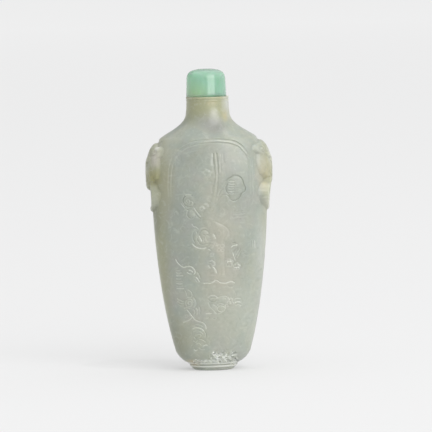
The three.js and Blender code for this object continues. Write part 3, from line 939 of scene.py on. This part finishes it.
def turn_profile(bm, sections, steps, skin=None):
    """Spin a profile round the Z axis, keeping each section's depth and skin on its vertices."""
    depth = bm.verts.layers.float.new("depth")
    outside = bm.verts.layers.float.new("skin")
    verts = []
    for i, (wide, deep, height) in enumerate(sections):
        vert = bm.verts.new((wide * MM, 0, height * MM))
        vert[depth] = deep / wide if wide > 0 else 1
        vert[outside] = 1 if skin and skin[0] <= i < skin[1] else 0
        verts.append(vert)
    edges = [bm.edges.new(pair) for pair in zip(verts, verts[1:])]
    bmesh.ops.spin(
        bm, geom=verts + edges, cent=(0, 0, 0), axis=(0, 0, 1), angle=2 * math.pi,
        steps=steps, use_merge=True, use_normal_flip=False, use_duplicate=False,
    )
    bmesh.ops.remove_doubles(bm, verts=bm.verts, dist=1e-7)


def press_oval(bm):
    """Press the turned sections to ovals, each with its own depth."""
    depth = bm.verts.layers.float["depth"]
    for v in bm.verts:
        radius = math.hypot(v.co.x, v.co.y)
        if radius < 1e-7:
            continue
        ratio = v[depth]
        power = 2 / fullness(1, ratio)
        c, s = v.co.x / radius, v.co.y / radius
        v.co.x = math.copysign(radius * abs(c) ** power, c)
        v.co.y = math.copysign(radius * ratio * abs(s) ** power, s)


def positions(bm):
    """The vertices' places in millimetres."""
    return np.array([v.co for v in bm.verts]) / MM


def on_skin(bm):
    """Whether each vertex belongs to the outer wall."""
    layer = bm.verts.layers.float["skin"]
    return np.array([v[layer] for v in bm.verts]) > 0.99


def settle_on_wall(bm, wall):
    """Bring every vertex of the outer wall onto its exact oval."""
    place = positions(bm)
    wide, deep, power = section_at(wall, place[:, 2])
    sum_of_powers = (np.abs(place[:, 0]) / wide) ** power + (np.abs(place[:, 1]) / deep) ** power
    scale = np.maximum(sum_of_powers, 1e-9) ** (-1 / power)
    for v, factor, moves in zip(bm.verts, scale, on_skin(bm)):
        if moves:
            v.co.x *= factor
            v.co.y *= factor


def refine(bm, wall, wanted, level):
    """Split the edges of the outer wall where the carving needs it at this level."""
    bm.verts.index_update()
    split = wanted(positions(bm), level) & on_skin(bm)
    edges = [e for e in bm.edges if split[e.verts[0].index] and split[e.verts[1].index]]
    bmesh.ops.subdivide_edges(bm, edges=edges, cuts=1, use_grid_fill=True)
    settle_on_wall(bm, wall)


PANEL_SHARE = 0.86
PANEL_LOW = 4.2
PANEL_HIGH = 60.0
# For each level of refinement: its reach round the carving, and how low the breaks get it.
REFINED = {1: (1.0, 0.8), 2: (0.4, 1.7), 3: (0.14, 2.1)}


def on_panel(x, z, wide):
    """Whether each place is on a carved face, clear of the narrow sides, the foot and the neck."""
    return (np.abs(x) < PANEL_SHARE * wide) & (z > PANEL_LOW) & (z < PANEL_HIGH)


def carving_detail(wall, face, back):
    """A rule that says where each level of refinement is wanted."""

    def wanted(place, level):
        x, y, z = place.T
        wide, _, _ = section_at(wall, z)
        flat = place[:, [0, 2]]
        margin, lowest = REFINED[level]
        finest = level == max(REFINED)
        panel = on_panel(x, z, wide)
        wants = (y < 0) & panel & carving_reach(flat, *face, margin, not finest)
        if not finest:
            wants |= (y > 0) & panel & carving_reach(flat * (-1, 1), *back, margin)
            on_mask = (np.abs(y) < 5.9) & (np.abs(z - MASK_MIDDLE) < 6.9)
            on_ring = from_ring(y, z) < 0.4 + RING_BAND / 2
            wants |= (on_mask | on_ring) & (np.abs(x) > 0.55 * wide)
        broken = (x > CHIP_LEFT - 0.3) & (x < CHIP_RIGHT + 0.3) & (y < 0)
        return wants | broken & (z > lowest) & (z < CHIP_HIGH + 0.2)

    return wanted


def read_field(items, field, width=1):
    """One field of every item as an array, a row for each item where it has several numbers."""
    values = np.empty(len(items) * width)
    items.foreach_get(field, values)
    return values.reshape(-1, width) if width > 1 else values


def at_least(tint, index, values):
    """Raise a tint to some values where it is below them."""
    tint[index] = np.maximum(tint[index], values)


class CarvedWall:
    """The refined wall as arrays, in millimetres, with the painted shade and painted highlights that go
    with the carving.

    x, y and z are views of the places, so they follow as the wall is carved.
    """

    # The depth at which a cut's painted shade is darkest.
    darkest_cut = 0.2
    foot_band_rise, foot_band_pale = 0.42, 0.8
    crease_shade, ring_edge_pale = 0.7, 0.22

    def __init__(self, mesh, wall):
        self.mesh = mesh
        self.place = read_field(mesh.vertices, "co", 3) / MM
        self.normal = read_field(mesh.vertices, "normal", 3)
        self.x, self.y, self.z = self.place.T
        self.wide, self.deep, self.power = section_at(wall, self.z)
        self.outer = read_field(mesh.attributes["skin"].data, "value") > 0.99
        self.pale = np.zeros(len(self.place))
        self.hollow = np.zeros(len(self.place))

    def pick(self, *conditions):
        """Indices of the outer wall's vertices that meet every condition."""
        return np.flatnonzero(np.logical_and.reduce([self.outer, *conditions]))

    def carve_panel(self, strokes, mounds, sign):
        """Carve the face, with sign 1, or the back, with sign -1, which is drawn from behind."""
        index = self.pick(self.y * sign < 0, on_panel(self.x, self.z, self.wide))
        height, edge = relief_height(self.place[index][:, [0, 2]] * (sign, 1), strokes, mounds)
        self.place[index] += self.normal[index] * height[:, None]
        # Painted highlight along the cuts' edges.
        self.pale[index] = edge
        # Painted shade in the cuts, darker the deeper they go.
        self.hollow[index] = np.clip(-height / self.darkest_cut, 0, 1)

    def break_edge(self):
        """Sink the broken facets along the lower front edge, and paint their glints."""
        across = (self.x > CHIP_LEFT) & (self.x < CHIP_RIGHT)
        index = self.pick(self.y < 0, across, self.z > 0.9, self.z < 5.8)
        depth, glint = chip_depth(self.x[index], self.z[index])
        self.place[index] -= self.normal[index] * depth[:, None]
        at_least(self.pale, index, glint)

    def tint_foot(self):
        """Paint shade into the turned lines of the foot, and a painted highlight on the bands above
        them.
        """
        index = self.pick(self.z < 2.1)
        z = self.z[index]
        for height, _, reach in FOOT_LINES:
            band = ease(1.4 - 4 * np.abs(z - height - self.foot_band_rise))
            at_least(self.pale, index, self.foot_band_pale * band)
            at_least(self.hollow, index, ease(1 - np.abs(z - height) / reach))

    def raise_handle(self, handle):
        """Raise the mask and ring on one narrow side, and sink the notch above the mask."""
        outward = self.x * handle.side > 0.5 * self.wide
        index = self.pick(outward, np.abs(self.y) < 6.3, self.z > 39, self.z < 60)
        y, z = self.y[index], self.z[index]
        surface = reach_across(y, self.deep[index], self.wide[index], self.power[index])
        mask = soft_cap(mask_height(y, (z - handle.middle) / handle.scale), MASK_REACH - surface)
        raised = np.maximum(mask, ring_height(y, z, surface, handle))
        past_edge = from_ring(y, z) - RING_BAND / 2
        # Painted shade in the crease round the ring and at the mask's edge.
        crease = ease(1 - np.abs(past_edge - 0.25) / 0.25)
        crease = np.maximum(crease, ease(1 - mask / 0.3) * (mask > 0))
        at_least(self.hollow, index, self.crease_shade * crease * (z < 57))
        edge = ease(1 - np.abs(past_edge + 0.25) / 0.35) * (z < 47)
        at_least(self.pale, index, self.ring_edge_pale * edge)
        sunk = np.where(raised > 0, 0, notch_depth(y, z, handle))
        self.place[index, 0] += handle.side * (raised - sunk)

    def write_back(self):
        """Put the carved places and the tints on the mesh."""
        self.mesh.vertices.foreach_set("co", (self.place * MM).ravel())
        for name, values in (("pale", self.pale), ("hollow", self.hollow)):
            layer = self.mesh.attributes.new(name, "FLOAT", "POINT")
            layer.data.foreach_set("value", values)
        self.mesh.update()


def turned_mesh(bm, name):
    """Turn the faces outwards and keep the bmesh as a named mesh."""
    bmesh.ops.recalc_face_normals(bm, faces=bm.faces)
    mesh = bpy.data.meshes.new(name)
    bm.to_mesh(mesh)
    bm.free()
    return mesh


def link_piece(mesh, material, node):
    """Finish a turned piece, link it, give it its material and tie it to the frame."""
    for layer in ("skin", "depth"):
        mesh.attributes.remove(mesh.attributes[layer])
    mesh.polygons.foreach_set("use_smooth", np.ones(len(mesh.polygons), bool))
    mesh.update()
    piece = bpy.data.objects.new(mesh.name, mesh)
    bpy.context.scene.collection.objects.link(piece)
    mesh.materials.append(material)
    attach(piece, "root")
    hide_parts(node)


# ---- Materials ------------------------------------------------------------------------------


class Nodes:
    """Short calls for adding and joining shader nodes."""

    def __init__(self, owner):
        self.tree = owner.node_tree
        self.spot = 0

    def add(self, kind, inputs=None, **settings):
        """Add a node, set its fields and fill or link its inputs."""
        node = self.tree.nodes.new(kind)
        node.location = (self.spot % 8 * 190 - 1500, -(self.spot // 8) * 260)
        self.spot += 1
        for field, value in settings.items():
            setattr(node, field, value)
        for key, value in (inputs or {}).items():
            if isinstance(value, bpy.types.NodeSocket):
                self.tree.links.new(value, node.inputs[key])
            else:
                node.inputs[key].default_value = value
        return node

    def noise(self, coordinate, scale, detail=4.0, rough=0.55, twist=0.0):
        """Soft clouds from 0 to 1."""
        inputs = {"Vector": coordinate, "Scale": scale, "Detail": detail}
        inputs |= {"Roughness": rough, "Distortion": twist}
        return self.add("ShaderNodeTexNoise", inputs).outputs["Fac"]

    def ramp(self, value, low, high):
        """Stretch part of a value's range smoothly to 0 to 1."""
        inputs = {"Value": value, "From Min": low, "From Max": high}
        return self.add("ShaderNodeMapRange", inputs, interpolation_type="SMOOTHSTEP").outputs["Result"]

    def math(self, kind, a, b=0.0):
        """One sum on two values."""
        return self.add("ShaderNodeMath", {0: a, 1: b}, operation=kind).outputs["Value"]

    def mix(self, share, a, b):
        """Mix two colours."""
        node = self.add("ShaderNodeMix", {"Factor": share}, data_type="RGBA")
        for key, value in ((6, a), (7, b)):
            if isinstance(value, bpy.types.NodeSocket):
                self.tree.links.new(value, node.inputs[key])
            else:
                node.inputs[key].default_value = (*value[:3], 1)
        return node.outputs[2]

    def tint(self, colour, where, strength, tone):
        """Lay a tone over a colour where a pattern from 0 to 1 says, at a strength."""
        return self.mix(self.math("MULTIPLY", where, strength), colour, tone)

    def patch(self, coordinate, centre, radii):
        """A soft patch round a place: 1 in its middle and 0 at its radii, in millimetres."""
        inputs = {"Vector": coordinate, "Location": Vector(centre) * MM, "Scale": Vector(radii) * MM}
        moved = self.add("ShaderNodeMapping", inputs, vector_type="TEXTURE").outputs["Vector"]
        ball = self.add("ShaderNodeTexGradient", {"Vector": moved}, gradient_type="SPHERICAL")
        return ball.outputs["Fac"]


def set_plain(shader, values):
    """Set the sockets that are the same all over a surface."""
    for key, value in values.items():
        shader.inputs[key].default_value = value


def new_material(name):
    """An empty node material with its shader, ready for a finish."""
    material = bpy.data.materials.new(name)
    material.use_nodes = True
    shader = material.node_tree.nodes["Principled BSDF"]
    return material, Nodes(material), shader


LILAC = (0.36, 0.357, 0.33)
DEEP = (0.25, 0.278, 0.247)
SHADE = (0.24, 0.25, 0.17)
LIGHT = (0.46, 0.47, 0.4)
# A pale tone for painted light: highlights on the neck and on the left mask, and light through the rim
# of the right mask.
PALE_PAINTED_LIGHT = (0.6, 0.6, 0.56)
MOSS = (0.30, 0.29, 0.14)
# Tones of the stone, with painted shade and painted light among them, laid in this order: the middle
# and radii of each patch, its strength, its tone.
TONES = (
    # Blue-grey depths of the face.
    ((-8, -8, 41), (8, 12, 15), 0.6, DEEP),
    ((-6, -8, 28), (6, 12, 7), 0.5, DEEP),
    ((7.0, -8, 45), (6, 8, 9), 0.5, DEEP),
    ((6.5, -8, 30), (4, 8, 5), 0.5, DEEP),
    ((-4, -8, 54), (6, 8, 4), 0.4, DEEP),
    # Painted shade down the left flank and painted light on the right flank and the left shoulder, as
    # the light falls from the right and from above.
    ((-15, -3, 41), (3.4, 9, 10), 1.1, SHADE),
    ((-14.0, -4, 37.5), (1.8, 6, 6), 0.8, SHADE),
    ((-9.5, -4, 7), (4, 8, 8), 0.8, SHADE),
    ((-6.5, -7, 9), (6, 8, 8), 0.45, (0.37, 0.36, 0.25)),
    ((-11.0, -6, 48), (3.2, 6, 11), 0.9, (0.335, 0.33, 0.225)),
    ((-12, -4, 57), (6, 9, 6), 0.7, LIGHT),
    ((11, -5, 13), (6, 10, 15), 0.6, (0.46, 0.48, 0.42)),
    ((5, -8, 14), (10, 8, 14), 0.35, (0.45, 0.48, 0.42)),
    ((13.0, -5, 29), (3, 8, 13), 0.7, (0.48, 0.50, 0.46)),
    # A grey place under the neck, painted shade on its flare, a painted highlight above that, and a
    # paler place at its right.
    ((0.6, -6, 62.6), (5.0, 5, 3.4), 0.8, (0.33, 0.33, 0.305)),
    ((2.2, -6, 61.4), (3.6, 4, 2.8), 0.9, (0.23, 0.235, 0.21)),
    ((1.6, -5, 65.0), (1.4, 3, 1.7), 0.4, PALE_PAINTED_LIGHT),
    ((4.9, -2, 67.0), (2.0, 5, 4.5), 1.2, (0.47, 0.48, 0.42)),
    # The masks and their rings, with painted light along the pale rims of the masks and a painted
    # highlight on the top of the left one, and a tan place on the foot.
    ((-13.4, -4.6, 53.8), (1.8, 3, 3.6), 1.1, (0.52, 0.5, 0.44)),
    ((-15.2, -3, 51.0), (1.5, 5, 6.5), 0.7, (0.40, 0.40, 0.34)),
    ((-13.0, -4.6, 56.5), (1.0, 2, 1.0), 1.2, PALE_PAINTED_LIGHT),
    ((-13.8, -3.6, 48.9), (3.0, 5, 3.4), 1.3, MOSS),
    ((-13.8, -4.5, 44.0), (1.4, 3, 4.4), 0.7, LIGHT),
    ((13.6, -5, 51.0), (2.6, 5, 7.0), 0.8, (0.42, 0.405, 0.32)),
    ((-5.0, -3.5, 2.0), (2.6, 4, 1.6), 1.2, (0.47, 0.41, 0.28)),
    ((16.4, -1.5, 55.0), (2.0, 6, 4.5), 1.0, PALE_PAINTED_LIGHT),
    ((14.8, -4, 41.8), (2.0, 5, 4.0), 0.9, (0.54, 0.54, 0.46)),
)


# The yellow-tan skin: a broad place on the right mask, then small ones on the neck and the mask.
TAN_FIELD = ((14.6, -4, 50.0), (3.4, 7, 4.5))
TAN_SPOTS = (
    ((1.2, -5, 67.4), (1.8, 3, 1.1)),
    ((4.3, -4, 64.2), (1.1, 3, 2.0)),
    ((13.8, -4, 46.6), (1.7, 4, 2.6)),
)


def olive_share(nodes, place):
    """Where the stone turns olive: the two narrow sides and the neck."""
    split = nodes.add("ShaderNodeSeparateXYZ", {"Vector": place})
    across, up = split.outputs["X"], split.outputs["Z"]
    left = nodes.math("MULTIPLY", nodes.ramp(across, -9.0 * MM, -12.8 * MM), 0.85)
    right = nodes.math("MULTIPLY", nodes.ramp(across, 12.2 * MM, 14.6 * MM), 0.6)
    neck = nodes.math("MULTIPLY", nodes.ramp(up, 61.0 * MM, 66.0 * MM), 0.95)
    return nodes.math("MAXIMUM", nodes.math("MAXIMUM", left, right), neck)


def tan_share(nodes, place, clouds):
    """Where the tan skin shows, broken up by the clouds."""
    tan = nodes.math("MULTIPLY", nodes.patch(place, *TAN_FIELD), 0.55)
    for spot in TAN_SPOTS:
        tan = nodes.math("MAXIMUM", tan, nodes.math("MULTIPLY", nodes.patch(place, *spot), 0.85))
    return nodes.math("MULTIPLY", tan, nodes.ramp(clouds, 0.3, 0.6))


def jade_colour(nodes, place, finish):
    """The stone's colour: clouds and a veil, then the olive places, the tones with their painted shade
    and light, and the tan and mottled places.
    """
    broad = nodes.noise(place, 95, 3, 0.5, 0.6)
    drift = nodes.noise(place, 140, 3, 0.5, 0.4)
    clouds = nodes.noise(place, 240, 5, 0.6, 1.0)
    fibres = nodes.noise(place, 520, 4, 0.6, 1.8)
    specks = nodes.noise(place, 1300, 3, 0.6)
    colour = nodes.mix(nodes.ramp(clouds, 0.36, 0.64), finish.jade, finish.jade_blue)
    colour = nodes.tint(colour, nodes.ramp(drift, 0.45, 0.7), 0.6, LILAC)
    middle = nodes.patch(place, (2.5, -8, 28), (7, 14, 30))
    veil = nodes.math("MULTIPLY", middle, nodes.ramp(broad, 0.25, 0.55))
    colour = nodes.tint(colour, veil, 1.1, finish.jade_beige)
    colour = nodes.mix(olive_share(nodes, place), colour, finish.jade_olive)
    for centre, radii, strength, tone in TONES:
        colour = nodes.tint(colour, nodes.patch(place, centre, radii), strength, tone)
    colour = nodes.mix(tan_share(nodes, place, clouds), colour, finish.skin)
    mottles = (
        (nodes.ramp(fibres, 0.5, 0.78), 0.35, (0.55, 0.58, 0.51)),
        (nodes.ramp(fibres, 0.48, 0.26), 0.3, (0.22, 0.25, 0.19)),
        (nodes.ramp(specks, 0.56, 0.72), 0.2, (0.24, 0.27, 0.21)),
    )
    for where, strength, tone in mottles:
        colour = nodes.tint(colour, where, strength, tone)
    return colour


def jade_material(finish):
    """Pale mottled jade, with painted shade in the carving's hollows and a painted highlight along its
    edges.
    """
    material, nodes, shader = new_material("jade")
    place = nodes.add("ShaderNodeTexCoord").outputs["Object"]
    colour = jade_colour(nodes, place, finish)
    # Painted shade in the cuts, the foot's lines and the creases.
    hollow = nodes.add("ShaderNodeAttribute", attribute_name="hollow").outputs["Fac"]
    colour = nodes.tint(colour, hollow, 0.22, (0.30, 0.31, 0.22))
    # Painted highlights along the carved edges and the foot's bands, and painted glints on the broken
    # facets.
    highlit = nodes.add("ShaderNodeAttribute", attribute_name="pale").outputs["Fac"]
    colour = nodes.tint(colour, highlit, 0.75, finish.pale)
    polish = nodes.math("ADD", nodes.math("MULTIPLY", nodes.noise(place, 330, 4), 0.16), 0.24)
    grain = nodes.noise(place, 1500, 3)
    bump = nodes.add("ShaderNodeBump", {"Strength": 0.12, "Distance": 0.00012, "Height": grain})
    nodes.tree.links.new(colour, shader.inputs["Base Color"])
    nodes.tree.links.new(polish, shader.inputs["Roughness"])
    nodes.tree.links.new(bump.outputs["Normal"], shader.inputs["Normal"])
    set_plain(shader, {
        "IOR": 1.6,
        "Subsurface Weight": 0.75,
        "Subsurface Radius": (1.0, 1.0, 0.85),
        "Subsurface Scale": 1.6 * MM,
        "Coat Weight": 0.05,
        "Coat Roughness": 0.14,
    })
    return material


def stopper_material(finish):
    """Glossy mint-green stone that light passes into, yellower at its lower left, with a painted glow
    on its left side.
    """
    material, nodes, shader = new_material("stopper_stone")
    place = nodes.add("ShaderNodeTexCoord").outputs["Object"]
    clouds = nodes.noise(place, 260, 4, 0.55, 0.8)
    colour = nodes.mix(nodes.ramp(clouds, 0.35, 0.7), finish.stopper, (0.29, 0.51, 0.385))
    # Painted glow: the left side lighter, where light shines through the stone.
    painted_glow = nodes.patch(place, (-5, -2, 73), (6, 7, 6))
    colour = nodes.tint(colour, painted_glow, 0.8, (0.38, 0.64, 0.46))
    yellow = nodes.patch(place, (-3.2, -3.5, 69.2), (5.5, 6, 4.2))
    colour = nodes.tint(colour, yellow, 0.9, (0.38, 0.6, 0.31))
    crown = nodes.patch(place, (2, -2, 76.5), (6, 7, 4))
    colour = nodes.mix(crown, colour, (0.32, 0.46, 0.385))
    nodes.tree.links.new(colour, shader.inputs["Base Color"])
    set_plain(shader, {
        "Roughness": 0.1,
        "IOR": 1.58,
        "Transmission Weight": 0.2,
        "Subsurface Weight": 1.0,
        "Subsurface Radius": (1.0, 1.2, 1.0),
        "Subsurface Scale": 4.5 * MM,
        "Coat Weight": 0.3,
        "Coat Roughness": 0.03,
    })
    return material


# ---- Operators ------------------------------------------------------------------------------


class BOTTLE_OT_carve(bpy.types.Operator):
    """Turn, press and carve the jade bottle"""

    bl_idname = "snuff_bottle.carve"
    bl_label = "Carve Bottle"

    def execute(self, context):
        shape = context.scene.bottle_shape
        wall = outer_wall(shape)
        face, back = face_scene(), back_scene()
        bm = bmesh.new()
        below = underside()
        profile = np.vstack([below, wall, inner_wall(shape)])
        turn_profile(bm, profile, shape.sides, (len(below), len(below) + len(wall)))
        press_oval(bm)
        wanted = carving_detail(wall, face, back)
        for level in REFINED:
            refine(bm, wall, wanted, level)
        mesh = turned_mesh(bm, "carved_bottle")
        carved = CarvedWall(mesh, wall)
        carved.carve_panel(*face, 1)
        carved.carve_panel(*back, -1)
        carved.break_edge()
        carved.tint_foot()
        for handle in HANDLES:
            carved.raise_handle(handle)
        carved.write_back()
        link_piece(mesh, jade_material(context.scene.stone_finish), "bottle")
        return {"FINISHED"}


def stopper_profile(rise, radius):
    """Sections of the stopper: a flat seat, a small bevel, a tapered side and a flattish dome."""
    bevel, taper, side = 0.08, 0.16, rise * 0.62
    top = radius - taper
    seat, corner = (radius - bevel, 0, 0), (radius, 0, bevel)
    rim = (top, 0, side)
    return chain(
        np.array([(0, 0, 0), (radius * 0.5, 0, 0), seat]),
        bend(seat, (radius - 0.1, 0, 0), (radius, 0, 0.1), corner, 4),
        bend(corner, (radius, 0, side / 3), (top + 0.03, 0, side / 1.5), rim, 8),
        bend(rim, (top - 0.02, 0, rise * 0.9), (top * 0.74, 0, rise), (0, 0, rise), 26),
    )


class BOTTLE_OT_turn_stopper(bpy.types.Operator):
    """Turn the domed stopper"""

    bl_idname = "snuff_bottle.turn_stopper"
    bl_label = "Turn Stopper"

    def execute(self, context):
        bm = bmesh.new()
        turn_profile(bm, stopper_profile(TOP - LIP, STOPPER_RADIUS), 96)
        bmesh.ops.translate(bm, verts=bm.verts, vec=Vector((STOPPER_X, 0, LIP)) * MM)
        mesh = turned_mesh(bm, "domed_stopper")
        finish = context.scene.stone_finish
        link_piece(mesh, stopper_material(finish), "stopper")
        return {"FINISHED"}


def soft_light(name, place, size, height, power, target):
    """A rectangular area light that faces a target."""
    data = bpy.data.lights.new(name, "AREA")
    data.shape, data.size, data.size_y = "RECTANGLE", size, height
    data.energy = power
    light = bpy.data.objects.new(name, data)
    light.location = place
    light.rotation_euler = (Vector(target) - Vector(place)).to_track_quat("-Z", "Y").to_euler()
    bpy.context.scene.collection.objects.link(light)


def round_from(centre, distance, azimuth, elevation):
    """A place at a distance from a centre: azimuth 0 is in front, 90 to the right."""
    a, e = math.radians(azimuth), math.radians(elevation)
    away = Vector((math.sin(a) * math.cos(e), -math.cos(a) * math.cos(e), math.sin(e)))
    return centre + away * distance


# Each light's name, azimuth and elevation in degrees, width, height and share of the key power.
LIGHTS = (("key", 31, 24, 2.5, 2.6, 1.0), ("crown", 47, 66, 0.16, 0.16, 0.09))
LIGHT_DISTANCE = 3.0
# Where the camera aims.
AIM = Vector((1.5 * MM, 0, 38.7 * MM))


class BOTTLE_OT_stage(bpy.types.Operator):
    """Set the floor, the soft lights and the camera"""

    bl_idname = "snuff_bottle.stage"
    bl_label = "Set Stage"

    def execute(self, context):
        scene, stage = context.scene, context.scene.stage_settings
        scene.view_settings.view_transform = "Standard"
        self.lay_floor(scene, stage)
        self.light(scene, stage)
        self.place_camera(scene, stage)
        return {"FINISHED"}

    def lay_floor(self, scene, stage):
        """A plain pale floor that glows a little, and more so far off."""
        bm = bmesh.new()
        bmesh.ops.create_grid(bm, x_segments=1, y_segments=1, size=stage.floor_size / 2)
        mesh = bpy.data.meshes.new("floor")
        bm.to_mesh(mesh)
        bm.free()
        floor = bpy.data.objects.new("floor", mesh)
        scene.collection.objects.link(floor)
        material, nodes, shader = new_material("floor")
        set_plain(shader, {
            "Base Color": (0.45, 0.45, 0.452, 1),
            "Roughness": 0.9,
            "Specular IOR Level": 0.0,
            "Emission Color": (1, 1, 1, 1),
        })
        place = nodes.add("ShaderNodeTexCoord").outputs["Object"]
        far = nodes.add("ShaderNodeVectorMath", {0: place}, operation="LENGTH").outputs["Value"]
        reach = {"Value": far, "From Min": 0.2, "From Max": 4.0}
        strengths = {"To Min": stage.floor_glow, "To Max": stage.floor_glow + stage.floor_lift}
        glow = nodes.add("ShaderNodeMapRange", reach | strengths)
        nodes.tree.links.new(glow.outputs["Result"], shader.inputs["Emission Strength"])
        mesh.materials.append(material)

    def light(self, scene, stage):
        """The pale surroundings and two soft lights."""
        world = bpy.data.worlds.new("studio")
        scene.world = world
        world.use_nodes = True
        nodes = Nodes(world)
        place = nodes.add("ShaderNodeTexCoord").outputs["Generated"]
        split = nodes.add("ShaderNodeSeparateXYZ", {"Vector": place})
        left, right, overhead = (0.34, 0.345, 0.35), (0.8, 0.8, 0.79), (1.25, 1.25, 1.25)
        horizon = (0.87, 0.87, 0.872)
        room = nodes.mix(nodes.ramp(split.outputs["X"], -0.9, 0.9), left, right)
        room = nodes.mix(nodes.ramp(split.outputs["Z"], 0.45, 1.0), room, overhead)
        sky = nodes.mix(nodes.ramp(split.outputs["Z"], 0.05, 0.22), horizon, room)
        world.node_tree.links.new(sky, world.node_tree.nodes["Background"].inputs["Color"])
        middle = Vector((0, 0, TOP / 2 * MM))
        for name, azimuth, elevation, size, height, power in LIGHTS:
            place = round_from(middle, LIGHT_DISTANCE, azimuth, elevation)
            soft_light(name, place, size, height, stage.key_power * power, middle)

    def place_camera(self, scene, stage):
        """The camera in front, looking slightly down, rolled so that the bottle leans."""
        data = bpy.data.cameras.new("camera")
        data.sensor_width = 36.0
        data.lens = data.sensor_width * stage.camera_distance / stage.view_height
        camera = bpy.data.objects.new("camera", data)
        scene.collection.objects.link(camera)
        place = round_from(AIM, stage.camera_distance, 0, math.degrees(stage.camera_elevation))
        facing = (AIM - place).to_track_quat("-Z", "Y").to_matrix().to_4x4()
        roll = Matrix.Rotation(-stage.camera_roll, 4, "Z")
        camera.matrix_world = Matrix.Translation(place) @ facing @ roll
        scene.camera = camera


class BOTTLE_PT_panel(bpy.types.Panel):
    """Lists the settings and the steps"""

    bl_idname = "BOTTLE_PT_panel"
    bl_label = "Snuff Bottle"
    bl_space_type = "VIEW_3D"
    bl_region_type = "UI"
    bl_category = "Snuff Bottle"

    def draw(self, context):
        scene, layout = context.scene, self.layout
        for group in (scene.bottle_shape, scene.stone_finish, scene.stage_settings):
            box = layout.box()
            for name in group.__annotations__:
                box.prop(group, name)
        for operator in OPERATORS:
            layout.operator(operator.bl_idname)


OPERATORS = (BOTTLE_OT_carve, BOTTLE_OT_turn_stopper, BOTTLE_OT_stage)
GROUPS = (BottleShape, StoneFinish, StageSettings)


def register():
    """Register the classes and hang the settings on the scene."""
    for cls in (*GROUPS, *OPERATORS, BOTTLE_PT_panel):
        bpy.utils.register_class(cls)
    bpy.types.Scene.bottle_shape = PointerProperty(type=BottleShape)
    bpy.types.Scene.stone_finish = PointerProperty(type=StoneFinish)
    bpy.types.Scene.stage_settings = PointerProperty(type=StageSettings)


def unregister():
    """Take the settings off the scene and unregister the classes."""
    for name in ("bottle_shape", "stone_finish", "stage_settings"):
        delattr(bpy.types.Scene, name)
    for cls in reversed((*GROUPS, *OPERATORS, BOTTLE_PT_panel)):
        bpy.utils.unregister_class(cls)


def main():
    """Build every piece."""
    register()
    bpy.ops.snuff_bottle.carve()
    bpy.ops.snuff_bottle.turn_stopper()
    bpy.ops.snuff_bottle.stage()


if __name__ == "__main__":
    main()
